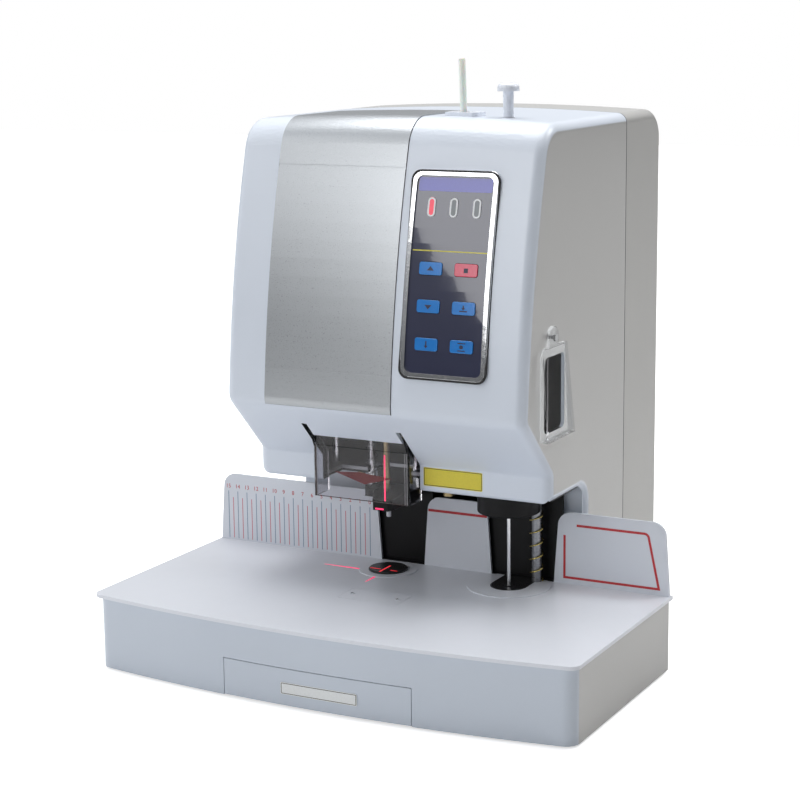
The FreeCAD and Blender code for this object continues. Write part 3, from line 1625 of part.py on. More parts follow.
def make_spring(name, x, y, z0, z1, radius, turns):
    """One unbroken coil tube, and its least gap between turns measured on points."""
    low = z0 + spring_wire_radius + running_clearance
    high = z1 - spring_wire_radius - running_clearance
    path = coil_path(x, y, low, high, radius, turns)
    step_rise = (high - low) / int(round(4 * turns))
    start = helix_point(x, y, low, radius, step_rise, 0)
    tangent = helix_tangent(radius, step_rise, 0)
    ring = Part.Wire(Part.makeCircle(spring_wire_radius, start, tangent))
    coil = path.makePipeShell([ring], True, False)
    points = []
    for index in range(int(turns * spring_samples) + 1):
        angle = 2 * math.pi * index / spring_samples
        points.append(helix_point(x, y, low, radius, step_rise, angle))
    least = min((points[i] - points[j]).Length for i in range(len(points))
                for j in range(i + spring_samples // 2, len(points)))
    print(name, "least gap between turns", round(least - 2 * spring_wire_radius, 2))
    return coil


def make_foot_spring():
    return make_spring("foot_spring", shaft_xs[1], shaft_y, foot_block_bottom + foot_block_height,
                       carriage_bottom, drill_spring_radius, drill_spring_turns)


def make_press_spring():
    return make_spring("press_spring", post_x, post_y, table_top + die_proud, press_block_bottom,
                       press_spring_radius, press_spring_turns)


# Rivet press


def make_press_post():
    return rod(post_x, post_y, table_top - table_thickness, crown_plate_bottom, post_radius)


def make_press_block():
    """Upper heater block: a round black block with the rivet die's bore and the post's bore."""
    top = press_block_bottom + press_block_height
    block = rod(press_x, station_line, press_block_bottom, top, press_block_radius)
    rims = [edge for edge in block.Edges if edge.BoundBox.ZLength < running_clearance]
    block = block.makeFillet(press_block_round, rims)
    block = block.cut(rod(press_x, station_line, press_block_bottom - overrun, top + overrun,
                          needle_bore))
    return block.cut(rod(post_x, post_y, press_block_bottom - overrun, top + overrun,
                         post_radius + running_clearance))


def make_press_ram():
    """Hollow ram and its bridge, which slides on the post and holds the screw's nut."""
    top = ram_plate_bottom + ram_plate_thickness
    ram = rod(press_x, station_line, press_block_bottom + press_block_height, top, ram_radius)
    plate = rounded_block(ram_plate_left, ram_plate_right, ram_plate_front, ram_plate_back,
                          ram_plate_bottom, top, ram_plate_corner)
    collar = rod(post_x, post_y, ram_plate_bottom - collar_height, top + collar_height,
                 post_lug_radius)
    whole = fused([ram, plate, collar])
    low = press_block_bottom
    high = top + 2 * overrun
    whole = whole.cut(rod(press_x, station_line, low, high, needle_bore))
    whole = whole.cut(rod(post_x, post_y, low, high, post_radius + running_clearance))
    return whole.cut(rod(press_x, press_screw_y, low, high,
                         press_screw_radius + running_clearance))


def make_guide_needle():
    foot = table_top - needle_tip_depth
    point = cone(press_x, station_line, foot + needle_tip_gap, foot + needle_point,
                 needle_radius / 3, needle_radius)
    shaft = rod(press_x, station_line, foot + needle_point, knob_stem_bottom + 2 * overrun,
                needle_radius)
    return point.fuse(shaft).removeSplitter()


def make_needle_knob():
    """Mushroom knob: a stem with a waist pin's bore and a domed cap."""
    stem = rod(press_x, station_line, knob_stem_bottom, knob_cap_bottom, knob_stem_radius)
    cap = rod(press_x, station_line, knob_cap_bottom, knob_cap_bottom + knob_cap_height,
              knob_cap_radius)
    top = knob_cap_bottom + knob_cap_height
    rims = [edge for edge in cap.Edges if edge.BoundBox.ZMin > top - running_clearance]
    cap = cap.makeFillet(2 * knob_rim, rims)
    knob = stem.fuse(cap).removeSplitter()
    return knob.cut(rod(press_x, station_line, knob_stem_bottom - overrun,
                        knob_stem_bottom + 2 * overrun, needle_radius))


# Rivet tube path


def make_tube_inlet():
    """Funnel plate on the head's top with a spigot through the shell."""
    top = head_top + inlet_height - seam_gap
    flange = rounded_block(inlet_x - inlet_length / 2, inlet_x + inlet_length / 2,
                           station_line - inlet_width / 2, station_line + inlet_width / 2,
                           head_top - inlet_height, top, inlet_radius)
    flange = flange.cut(head_body(0))
    spigot = rod(inlet_x, station_line, head_top - 3 * overrun, top, inlet_spigot_radius)
    bore = rod(inlet_x, station_line, head_top - 4 * overrun, top + overrun, inlet_bore)
    return flange.fuse(spigot).cut(bore).removeSplitter()


def cutter_bounds():
    bottom = crown_plate_top
    return bottom, bottom + cutter_height


def make_tube_cutter():
    """Block on the crown plate with the tube's chamber, the blade's slot and the outlet bore."""
    bottom, top = cutter_bounds()
    block = rounded_block(cutter_left, cutter_right, station_line - cutter_half_depth,
                          station_line + cutter_half_depth, bottom, top, hatch_corner_radius)
    chamber = box(cutter_chamber_left, cutter_chamber_right, station_line - cutter_chamber_half,
                  station_line + cutter_chamber_half, top - cutter_chamber_height, top + overrun)
    blade_top = blade_bottom + blade_thickness
    slot = box(cutter_chamber_left, cutter_right + overrun,
               station_line - blade_half_depth - blade_slot_gap,
               station_line + blade_half_depth + blade_slot_gap,
               blade_bottom - blade_slot_gap, blade_top + blade_slot_gap)
    outlet = rod(outlet_x, station_line, bottom - overrun, top + overrun, cutter_bore)
    return block.cut(chamber).cut(slot).cut(outlet)


def make_cutter_blade():
    blade = box(blade_left, blade_right, station_line - blade_half_depth,
                station_line + blade_half_depth, blade_bottom, blade_bottom + blade_thickness)
    edge_points = [
        (blade_left - overrun, blade_bottom + blade_thickness / 4),
        (blade_left, blade_bottom + blade_thickness / 4),
        (blade_left + blade_bevel, blade_bottom + blade_thickness),
        (blade_left + blade_bevel, blade_bottom + 2 * blade_thickness),
        (blade_left - overrun, blade_bottom + 2 * blade_thickness),
    ]
    return blade.cut(extrude_xz(edge_points, station_line - 2 * blade_half_depth,
                                station_line + 2 * blade_half_depth))


def make_tube_outlet():
    """Polished tube that brings the cut rivet down to the operator's side of the press."""
    top = crown_plate_top
    tube = rod(outlet_x, station_line, outlet_bottom, top, outlet_radius)
    rim = rod(outlet_x, station_line, outlet_bottom, outlet_bottom + outlet_rim_height,
              outlet_rim_radius)
    tube = tube.fuse(rim).removeSplitter()
    return tube.cut(rod(outlet_x, station_line, outlet_bottom - overrun, top + overrun,
                        outlet_bore))


def make_rivet_tube():
    """Plastic tube that stands in the inlet, leaning a little to the left."""
    tube = rod(inlet_x, station_line, tube_foot, tube_top, tube_radius)
    tube = tube.cut(rod(inlet_x, station_line, tube_foot - overrun, tube_top + overrun,
                        tube_bore))
    tube.rotate(Vector(inlet_x, station_line, tube_pivot_height), Y_AXIS, -tube_tilt_degrees)
    return tube


# Mains inlet and switch


def inlet_flange_block(margin, outside):
    """Flange shared by the mains socket and the switch, sunk into the back."""
    return rounded_block_along_y(
        inlet_box_x - inlet_box_width / 2 - inlet_flange - margin,
        switch_x + switch_width / 2 + switch_wall + inlet_flange + margin,
        inlet_box_z - switch_half_height - inlet_flange - margin,
        inlet_box_z + switch_half_height + inlet_flange + margin,
        back_plane - inlet_flange_thickness, outside, inlet_flange)


def make_mains_inlet():
    """Socket housing with three pins, and the frame of the power switch beside it."""
    half_width = inlet_box_width / 2
    half_height = inlet_box_height / 2
    body = box(inlet_box_x - half_width, inlet_box_x + half_width,
               back_plane - inlet_box_depth, back_plane,
               inlet_box_z - half_height, inlet_box_z + half_height)
    half_switch = switch_width / 2 + switch_wall
    pivot_y = back_plane - switch_pivot_inset
    frame = box(switch_x - half_switch, switch_x + half_switch,
                pivot_y - 2 * rocker_back - switch_wall, back_plane,
                inlet_box_z - switch_half_height, inlet_box_z + switch_half_height)
    module = fused([body, frame, inlet_flange_block(0, back_plane)])
    well = box(inlet_box_x - half_width + inlet_well_wall,
               inlet_box_x + half_width - inlet_well_wall,
               back_plane - inlet_well_depth, back_plane + overrun,
               inlet_box_z - half_height + inlet_well_wall,
               inlet_box_z + half_height - inlet_well_wall)
    recess = box(switch_x - switch_width / 2, switch_x + switch_width / 2,
                 pivot_y - 2 * rocker_back, back_plane + overrun,
                 inlet_box_z - switch_half_height + switch_wall,
                 inlet_box_z + switch_half_height - switch_wall)
    bore = rod_along_x(switch_x - half_switch, switch_x + half_switch, pivot_y, inlet_box_z,
                       rocker_shaft_radius + running_clearance)
    module = module.cut(well).cut(recess).cut(bore)
    for step in (-1, 0, 1):
        x = inlet_box_x + step * inlet_pin_pitch
        z = inlet_box_z + (inlet_pin_drop if step == 0 else -inlet_pin_drop / 2)
        pin = box(x - inlet_pin_width / 2, x + inlet_pin_width / 2,
                  back_plane - inlet_well_depth - running_clearance,
                  back_plane - inlet_pin_height,
                  z - inlet_pin_height / 2, z + inlet_pin_height / 2)
        module = module.fuse(pin)
    return module.removeSplitter()


def make_rocker_switch():
    """Rocker with a shallow valley in its face, resting tipped to one side."""
    half = rocker_half_height
    points = [
        (-rocker_back, -half + rocker_back / 2),
        (-rocker_back, half - rocker_back / 2),
        (rocker_crest, half),
        (rocker_waist, 0),
        (rocker_crest, -half),
    ]
    half_width = switch_width / 2 - rocker_side_gap
    rocker = extrude_yz(points, -half_width, half_width)
    rocker = rocker.fuse(rod_along_x(-half_width - switch_wall, half_width + switch_wall, 0, 0,
                                     rocker_shaft_radius)).removeSplitter()
    rocker.rotate(Vector(0, 0, 0), X_AXIS, switch_rock_degrees)
    rocker.translate(Vector(switch_x, back_plane - switch_pivot_inset, inlet_box_z))
    return rocker


save("base_shell", make_base_shell())
save("chassis_plate", make_chassis_plate())
save("rubber_feet", make_rubber_feet())
save("table_plate", make_table_plate())
save("table_hatch", make_table_hatch())
save("drill_pad", make_drill_pad())
save("die_cover_ring", make_die_cover_ring())
save("lower_die", make_lower_die())
save("lower_heater", make_lower_heater())
save("fence_left", make_fence(fence_end_margin - table_width / 2, drill_x - drill_throat_half))
save("fence_middle", make_fence(drill_x + drill_throat_half, press_x - press_throat_half))
save("fence_right", make_fence(press_x + press_throat_half, table_width / 2 - fence_end_margin))
save("throat_covers", make_throat_covers())
save("chip_drawer", make_chip_drawer())
save("front_shell", make_front_shell())
save("rear_shell", make_rear_shell())
save("head_floor", make_head_floor())
save("front_insert", make_front_insert())
save("panel_bezel", make_panel_bezel())
save("panel_plate", make_panel_plate())
save("indicator_lamps", make_indicator_lamps())
save("circuit_board", make_circuit_board())
key_names = (("key_up", "key_down", "key_drill"), ("key_stop", "key_press", "key_rivet"))
for x, names in zip(panel_places(key_column_shares, panel_left, panel_width), key_names):
    for height, name in zip(panel_places(key_row_shares, panel_foot, panel_height), names):
        save(name, make_key(x, height))
save("drill_guard", make_drill_guard())
save("pivot_screws", make_pivot_screws())
save("side_cover", make_side_cover())
save("main_frame", make_main_frame())
save("drill_shafts", make_drill_shafts())
save("drill_screw", make_lead_screw(screw_places()[0], screw_collar))
save("drill_lift_motor", make_lift_motor(screw_places()[0]))
save("drill_carriage", make_drill_carriage())
save("spindle_bearings", make_spindle_bearings())
save("drill_spindle", make_drill_spindle())
save("hollow_drill", make_hollow_drill())
save("drill_motor", make_drill_motor())
save("motor_pulley", make_motor_pulley())
save("drive_belt", make_drive_belt())
save("drill_foot", make_drill_foot())
save("foot_spring", make_foot_spring())
save("line_lasers", make_line_lasers())
save("press_block", make_press_block())
save("press_ram", make_press_ram())
save("press_post", make_press_post())
save("press_screw", make_lead_screw(screw_places()[1], screw_collar))
save("press_lift_motor", make_lift_motor(screw_places()[1]))
save("press_spring", make_press_spring())
save("guide_needle", make_guide_needle())
save("needle_knob", make_needle_knob())
save("tube_inlet", make_tube_inlet())
save("tube_cutter", make_tube_cutter())
save("cutter_blade", make_cutter_blade())
save("tube_outlet", make_tube_outlet())
save("rivet_tube", make_rivet_tube())
save("mains_inlet", make_mains_inlet())
save("rocker_switch", make_rocker_switch())
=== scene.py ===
# Looks of the desk machine that drills a stack of papers and closes a hot rivet in it.
# Metres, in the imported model's frame: +X operator's right, -Y operator's side, +Z up.
import math

import bmesh
import bpy
from mathutils import Matrix, Vector


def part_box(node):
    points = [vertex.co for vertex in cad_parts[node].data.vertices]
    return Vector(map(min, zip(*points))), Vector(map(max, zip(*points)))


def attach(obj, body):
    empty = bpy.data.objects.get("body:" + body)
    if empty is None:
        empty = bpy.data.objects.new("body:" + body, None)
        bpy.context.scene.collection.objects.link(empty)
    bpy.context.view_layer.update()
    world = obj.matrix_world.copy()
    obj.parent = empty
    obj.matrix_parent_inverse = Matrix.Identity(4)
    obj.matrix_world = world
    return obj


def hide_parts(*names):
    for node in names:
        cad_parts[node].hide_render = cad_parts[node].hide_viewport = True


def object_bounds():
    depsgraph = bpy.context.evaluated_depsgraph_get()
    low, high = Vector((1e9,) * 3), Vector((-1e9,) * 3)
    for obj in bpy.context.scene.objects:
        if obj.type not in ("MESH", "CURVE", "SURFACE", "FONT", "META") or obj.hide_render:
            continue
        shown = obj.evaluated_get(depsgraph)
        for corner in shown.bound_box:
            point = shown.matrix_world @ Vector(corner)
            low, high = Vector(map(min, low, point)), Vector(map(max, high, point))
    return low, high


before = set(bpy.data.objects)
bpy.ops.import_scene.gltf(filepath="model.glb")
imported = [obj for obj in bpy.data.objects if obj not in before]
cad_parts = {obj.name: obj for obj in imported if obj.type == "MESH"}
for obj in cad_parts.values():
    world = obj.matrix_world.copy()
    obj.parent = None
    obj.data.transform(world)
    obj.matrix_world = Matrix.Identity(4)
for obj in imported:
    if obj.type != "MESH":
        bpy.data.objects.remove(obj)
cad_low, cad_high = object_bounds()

MM = 0.001
SLIVER = 0.05 * MM
boxes = {name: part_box(name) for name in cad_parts}


def low(node):
    """Lowest corner of a node's box."""
    return boxes[node][0]


def high(node):
    """Highest corner of a node's box."""
    return boxes[node][1]


def centre(node):
    return (low(node) + high(node)) / 2


# Places that the drawn pieces follow; all but the head's middle are read from the frame
table_top = low("fence_left").z
drill_axis = centre("drill_pad")
press_axis = centre("guide_needle")
half_width = high("front_shell").x
head_middle = Vector((0, 0.06, 0.23))


# Materials


def tone(red, green, blue):
    """Linear colour of a display colour in 0 to 255."""
    levels = []
    for value in (red, green, blue):
        share = value / 255
        levels.append(share / 12.92 if share <= 0.04045 else ((share + 0.055) / 1.055) ** 2.4)
    return (*levels, 1.0)


def number(tree, operation, *values):
    """One step of arithmetic with sockets or plain numbers."""
    node = tree.nodes.new("ShaderNodeMath")
    node.operation = operation
    for socket, value in zip(node.inputs, values):
        if isinstance(value, (int, float)):
            socket.default_value = value
        else:
            tree.links.new(value, socket)
    return node.outputs[0]


def ramped(tree, value, low_value, high_value, start, end):
    """Maps a value from start to end onto the range between two numbers."""
    node = tree.nodes.new("ShaderNodeMapRange")
    node.inputs["From Min"].default_value = start
    node.inputs["From Max"].default_value = end
    node.inputs["To Min"].default_value = low_value
    node.inputs["To Max"].default_value = high_value
    tree.links.new(value, node.inputs["Value"])
    return node.outputs["Result"]


class Finish:
    """One node material and the few steps that all of them share."""

    def __init__(self, name, colour, roughness, metallic=0.0, **sockets):
        self.material = bpy.data.materials.new(name)
        self.material.use_nodes = True
        self.tree = self.material.node_tree
        self.shader = self.tree.nodes["Principled BSDF"]
        self.colour = colour
        self.roughness = roughness
        self.place = self.tree.nodes.new("ShaderNodeTexCoord").outputs["Object"]
        self.shader.inputs["Base Color"].default_value = colour
        self.shader.inputs["Roughness"].default_value = roughness
        self.shader.inputs["Metallic"].default_value = metallic
        for socket, value in sockets.items():
            self.shader.inputs[socket.replace("_", " ")].default_value = value

    def link(self, source, target):
        self.tree.links.new(source, target)

    def scaled(self, x, y, z):
        """Object coordinates in periods of the given numbers per metre."""
        mapping = self.tree.nodes.new("ShaderNodeMapping")
        mapping.inputs["Scale"].default_value = (x, y, z)
        self.link(self.place, mapping.inputs["Vector"])
        return mapping.outputs["Vector"]

    def noise(self, x, y, z, detail=3.0):
        texture = self.tree.nodes.new("ShaderNodeTexNoise")
        texture.inputs["Scale"].default_value = 1.0
        texture.inputs["Detail"].default_value = detail
        self.link(self.scaled(x, y, z), texture.inputs["Vector"])
        return texture.outputs["Fac"]

    def ramp(self, factor, low_value, high_value, start=0.3, end=0.7):
        """Maps a texture between two single numbers."""
        return ramped(self.tree, factor, low_value, high_value, start, end)

    def mixed(self, factor, first, second):
        """Colour between two colours or colour sockets."""
        node = self.tree.nodes.new("ShaderNodeMix")
        node.data_type = "RGBA"
        self.link(factor, node.inputs["Factor"])
        for socket, value in ((node.inputs[6], first), (node.inputs[7], second)):
            if isinstance(value, tuple):
                socket.default_value = value
            else:
                self.link(value, socket)
        return node.outputs[2]

    def shade(self, factor, amount):
        """Varies the colour a little round its own value."""
        dark = tuple(level * (1 - amount) for level in self.colour[:3]) + (1.0,)
        pale = tuple(min(1, level * (1 + amount)) for level in self.colour[:3]) + (1.0,)
        self.link(self.mixed(factor, dark, pale), self.shader.inputs["Base Color"])
        return self

    def polish(self, factor, amount):
        """Varies the roughness round its own value."""
        result = self.ramp(factor, self.roughness * (1 - amount), self.roughness * (1 + amount))
        self.link(result, self.shader.inputs["Roughness"])
        return self

    def relief(self, height, depth, strength=1.0):
        """Bump from a texture, with its depth in metres."""
        node = self.tree.nodes.new("ShaderNodeBump")
        node.inputs["Strength"].default_value = strength
        node.inputs["Distance"].default_value = depth
        self.link(height, node.inputs["Height"])
        self.link(node.outputs["Normal"], self.shader.inputs["Normal"])
        return self

    def from_point(self, point):
        """Object coordinates measured from a point."""
        node = self.tree.nodes.new("ShaderNodeVectorMath")
        node.operation = "SUBTRACT"
        node.inputs[1].default_value = tuple(point)
        self.link(self.place, node.inputs[0])
        return node.outputs[0]

    def parts(self, vector):
        """The three coordinates of a vector, by their letters."""
        node = self.tree.nodes.new("ShaderNodeSeparateXYZ")
        self.link(vector, node.inputs["Vector"])
        return node.outputs

    def above(self, axis, value, width=0.2 * MM):
        """One where an object coordinate is past a value and zero before it."""
        return self.ramp(self.parts(self.place)[axis], 0.0, 1.0, value - width, value + width)


def powder_paint(name, colour, roughness, grain=1100, depth=0.04 * MM):
    """Baked paint with a fine even grain and faint cloudy differences in shade."""
    finish = Finish(name, colour, roughness, Coat_Weight=0.25, Coat_Roughness=0.18)
    finish.shade(finish.noise(9, 9, 9), 0.025)
    finish.polish(finish.noise(60, 60, 60), 0.12)
    return finish.relief(finish.noise(grain, grain, grain, 2.0), depth, 0.5)


def brushed_metal(name, colour, roughness, across=(900, 900, 12), depth=0.02 * MM):
    """Metal with fine lines along one direction."""
    finish = Finish(name, colour, roughness, metallic=1.0)
    lines = finish.noise(*across)
    finish.shade(lines, 0.06)
    finish.polish(lines, 0.25)
    return finish.relief(lines, depth, 0.35)


def turned_metal(name, colour, roughness):
    """Machined metal with fine rings across its length."""
    return brushed_metal(name, colour, roughness, (40, 40, 2600), 0.01 * MM)


def polished_metal(name, colour, roughness):
    finish = Finish(name, colour, roughness, metallic=1.0)
    finish.polish(finish.noise(300, 300, 300), 0.4)
    finish.shade(finish.noise(30, 30, 30), 0.03)
    return finish


def moulded_plastic(name, colour, roughness, grain=1500, depth=0.03 * MM, **sockets):
    """Plastic with the faint texture of its mould."""
    finish = Finish(name, colour, roughness, **sockets)
    finish.shade(finish.noise(25, 25, 25), 0.05)
    finish.polish(finish.noise(200, 200, 200), 0.15)
    return finish.relief(finish.noise(grain, grain, grain, 1.0), depth, 0.4)


def printed_ink(name, colour, roughness=0.45, **sockets):
    """Thin printed colour with slightly uneven cover."""
    finish = Finish(name, colour, roughness, **sockets)
    finish.shade(finish.noise(700, 700, 700), 0.08)
    return finish


def inside_painted_shade(finish, colour):
    """The colour outside, and painted shade where the surface faces the head's middle: a flat dark
    colour on the shell's inner faces.
    """
    facing = finish.tree.nodes.new("ShaderNodeVectorMath")
    facing.operation = "DOT_PRODUCT"
    finish.link(finish.from_point(head_middle), facing.inputs[0])
    finish.link(finish.place.node.outputs["Normal"], facing.inputs[1])
    blend = 0.5 * MM
    outside = finish.ramp(facing.outputs["Value"], 0.0, 1.0, -blend, blend)
    # Painted shade: the inner faces take a flat dark colour.
    finish.link(finish.mixed(outside, tone(34, 34, 37), colour), finish.shader.inputs["Base Color"])
    return outside


def silver_flakes(finish, dark, pale):
    """Silver from very fine flakes, which also give the paint its grain."""
    flakes = finish.noise(1900, 1900, 1900, 2.0)
    finish.relief(flakes, 0.03 * MM, 0.35)
    return finish.mixed(flakes, dark, pale)


def silver_side(finish, edge, first_white, second_white, hollow):
    """Adds the silver sides: where the surface is in the side planes, its colour turns metallic."""
    blend = 0.3 * MM
    across = number(finish.tree, "ABSOLUTE", finish.parts(finish.place)["X"])
    mask = finish.ramp(across, 0.0, 1.0, edge - blend, edge)
    silver = silver_flakes(finish, tone(154, 153, 151), tone(194, 193, 191))
    white = finish.mixed(finish.noise(8, 8, 8), first_white, second_white)
    painted = finish.mixed(mask, white, silver)
    # A hollow shell gets painted shade on its inner faces.
    if hollow:
        inside_painted_shade(finish, painted)
    else:
        finish.link(painted, finish.shader.inputs["Base Color"])
    finish.link(finish.ramp(mask, 0.3, 0.44, 0, 1), finish.shader.inputs["Roughness"])
    finish.link(finish.ramp(mask, 0.0, 0.55, 0, 1), finish.shader.inputs["Metallic"])
    return finish


def head_paint():
    """Pale blue satin paint in front, silver on the head's two sides, and painted shade on the
    shell's inner faces.
    """
    finish = Finish("head_paint", tone(214, 222, 236), 0.3, Coat_Weight=0.2, Coat_Roughness=0.15)
    return silver_side(finish, half_width - SLIVER, tone(211, 218, 229), tone(218, 225, 235), True)


def base_paint():
    """The base's paint, a little darker, with silver at its two ends."""
    finish = Finish("base_paint", tone(196, 204, 215), 0.34, Coat_Weight=0.2, Coat_Roughness=0.18)
    edge = high("base_shell").x - SLIVER
    return silver_side(finish, edge, tone(193, 201, 212), tone(199, 207, 218), False)


def rear_paint():
    """Silver paint with a fine grain all over, and painted shade on the shell's inner faces."""
    finish = Finish("rear_paint", tone(175, 174, 171), 0.44)
    outside = inside_painted_shade(finish, silver_flakes(finish, tone(156, 155, 153), tone(192, 191, 188)))
    finish.link(finish.ramp(outside, 0.0, 0.55, 0, 1), finish.shader.inputs["Metallic"])
    return finish


def insert_metal():
    """Satin aluminium with a very fine even grain."""
    finish = Finish("insert_metal", tone(170, 173, 176), 0.29, metallic=1.0)
    grain = finish.noise(1700, 1700, 1700, 2.0)
    finish.shade(grain, 0.02)
    finish.polish(grain, 0.08)
    return finish.relief(grain, 0.01 * MM, 0.2)


def clear_plastic(name, colour, ior, scratches=900):
    """Clear plastic with faint marks from wiping."""
    finish = Finish(name, colour, 0.03, IOR=ior, Transmission_Weight=1.0)
    finish.polish(finish.noise(50, 50, scratches), 0.5)
    return finish


def lamp_glass(edge):
    """Clear lenses; the one at the operator's left glows red."""
    finish = Finish("lamp_glass", tone(110, 116, 120), 0.18, Emission_Strength=1.0)
    right = finish.above("X", edge)
    red = tone(215, 60, 80)
    grey = tone(112, 118, 122)
    dark = (0.0, 0.0, 0.0, 1.0)
    glow = (0.3, 0.02, 0.04, 1.0)
    finish.link(finish.mixed(right, red, grey), finish.shader.inputs["Base Color"])
    finish.link(finish.mixed(right, glow, dark), finish.shader.inputs["Emission Color"])
    return finish


def light_line(name, colour, strength):
    """Laser light where it lands, brightest in its middle."""
    finish = Finish(name, colour, 0.7, Emission_Strength=strength, Specular_IOR_Level=0.0)
    pale = tuple(level + 0.12 * (1 - level) for level in colour[:3]) + (1.0,)
    finish.link(finish.mixed(finish.noise(1500, 1500, 1500), colour, pale),
                finish.shader.inputs["Emission Color"])
    return finish


def screw_thread(name, axis, pitch):
    """Steel with a helical thread worked out from the angle round its axis, with painted shade in
    the thread's groove and a painted highlight on its crest.
    """
    finish = Finish(name, tone(150, 150, 150), 0.3, metallic=1.0)
    parts = finish.parts(finish.from_point((axis.x, axis.y, 0.0)))
    angle = number(finish.tree, "ARCTAN2", parts["Y"], parts["X"])
    turn = number(finish.tree, "MULTIPLY_ADD", parts["Z"], 2 * math.pi / pitch, angle)
    height = finish.ramp(number(finish.tree, "SINE", turn), 0.0, 1.0, -1, 1)
    # Painted shade and highlight: the colour darkens in the groove and pales on the crest.
    finish.shade(height, 0.35)
    return finish.relief(height, pitch / 4)


def worn_rings(name, colour, roughness, axis, pitch):
    """Black surface with faint turned rings round an upright axis."""
    finish = Finish(name, colour, roughness)
    wave = finish.tree.nodes.new("ShaderNodeTexWave")
    wave.wave_type = "RINGS"
    wave.rings_direction = "Z"
    wave.inputs["Scale"].default_value = math.pi / 10 / pitch
    wave.inputs["Distortion"].default_value = 0.4
    finish.link(finish.from_point(axis), wave.inputs["Vector"])
    finish.polish(wave.outputs["Fac"], 0.25)
    return finish.relief(wave.outputs["Fac"], 0.1 * MM, 0.25)


def board_tracks():
    """Green circuit board with pale tracks under the lacquer."""
    finish = Finish("circuit_board", tone(24, 92, 50), 0.3)
    tracks = finish.tree.nodes.new("ShaderNodeTexBrick")
    tracks.inputs["Scale"].default_value = 1.0
    tracks.inputs["Mortar Size"].default_value = 0.06
    tracks.inputs["Color1"].default_value = tone(24, 92, 50)
    tracks.inputs["Color2"].default_value = tone(20, 80, 44)
    tracks.inputs["Mortar"].default_value = tone(70, 140, 80)
    finish.link(finish.scaled(300, 1, 300), tracks.inputs["Vector"])
    finish.link(tracks.outputs["Color"], finish.shader.inputs["Base Color"])
    return finish


def belt_rubber():
    """Rubber belt with fine cross ribs."""
    finish = Finish("belt_rubber", tone(28, 28, 29), 0.7)
    finish.shade(finish.noise(400, 400, 400), 0.2)
    return finish.relief(finish.noise(900, 900, 40), 0.2 * MM, 0.6)


black_paint = powder_paint("black_paint", tone(7, 7, 9), 0.42, 900, 0.05 * MM)
black_paint.shader.inputs["Coat Weight"].default_value = 0.0
black_paint.shader.inputs["Specular IOR Level"].default_value = 0.22
drawer_paint = powder_paint("drawer_paint", tone(196, 204, 215), 0.34)
table_paint = powder_paint("table_paint", tone(221, 224, 231), 0.36)
board_paint = powder_paint("board_paint", tone(216, 220, 228), 0.36)
steel = turned_metal("turned_steel", tone(168, 168, 169), 0.3)
plate_steel = brushed_metal("plate_steel", tone(150, 151, 154), 0.42, (20, 900, 900))
chrome = polished_metal("chrome", tone(226, 227, 229), 0.07)
rod_chrome = polished_metal("rod_chrome", tone(205, 206, 208), 0.14)
spring_plate = polished_metal("spring_plate", tone(205, 188, 120), 0.24)
white_plastic = moulded_plastic("white_plastic", tone(226, 230, 238), 0.28)
rim_plastic = moulded_plastic("rim_plastic", tone(232, 234, 236), 0.3)
black_plastic = moulded_plastic("black_plastic", tone(24, 24, 25), 0.5, 700, 0.1 * MM)
rubber = moulded_plastic("rubber", tone(30, 30, 31), 0.8, 900, 0.1 * MM)
motor_paint = powder_paint("motor_paint", tone(70, 71, 74), 0.4)
brass = turned_metal("brass", tone(158, 142, 108), 0.32)
post_steel = turned_metal("post_steel", tone(138, 139, 142), 0.3)
tube_plastic = moulded_plastic("tube_plastic", tone(240, 240, 232), 0.35,
                               Subsurface_Weight=0.3, Subsurface_Scale=4 * MM)
key_blue = moulded_plastic("key_blue", tone(25, 120, 200), 0.12, Coat_Weight=0.5)
key_red = moulded_plastic("key_red", tone(205, 36, 78), 0.12, Coat_Weight=0.5)
panel_film = moulded_plastic("panel_film", tone(48, 51, 74), 0.06, 2500, 0.002 * MM,
                             Coat_Weight=0.8, Coat_Roughness=0.02)
guard_plastic = clear_plastic("guard_plastic", (0.72, 0.71, 0.74, 1.0), 1.36)
cover_plastic = clear_plastic("cover_plastic", (0.84, 0.85, 0.86, 1.0), 1.06)
pad_plastic = worn_rings("pad_plastic", tone(16, 16, 17), 0.42, drill_axis, 1.6 * MM)
die_metal = worn_rings("die_metal", tone(16, 16, 18), 0.3, press_axis, 2 * MM)

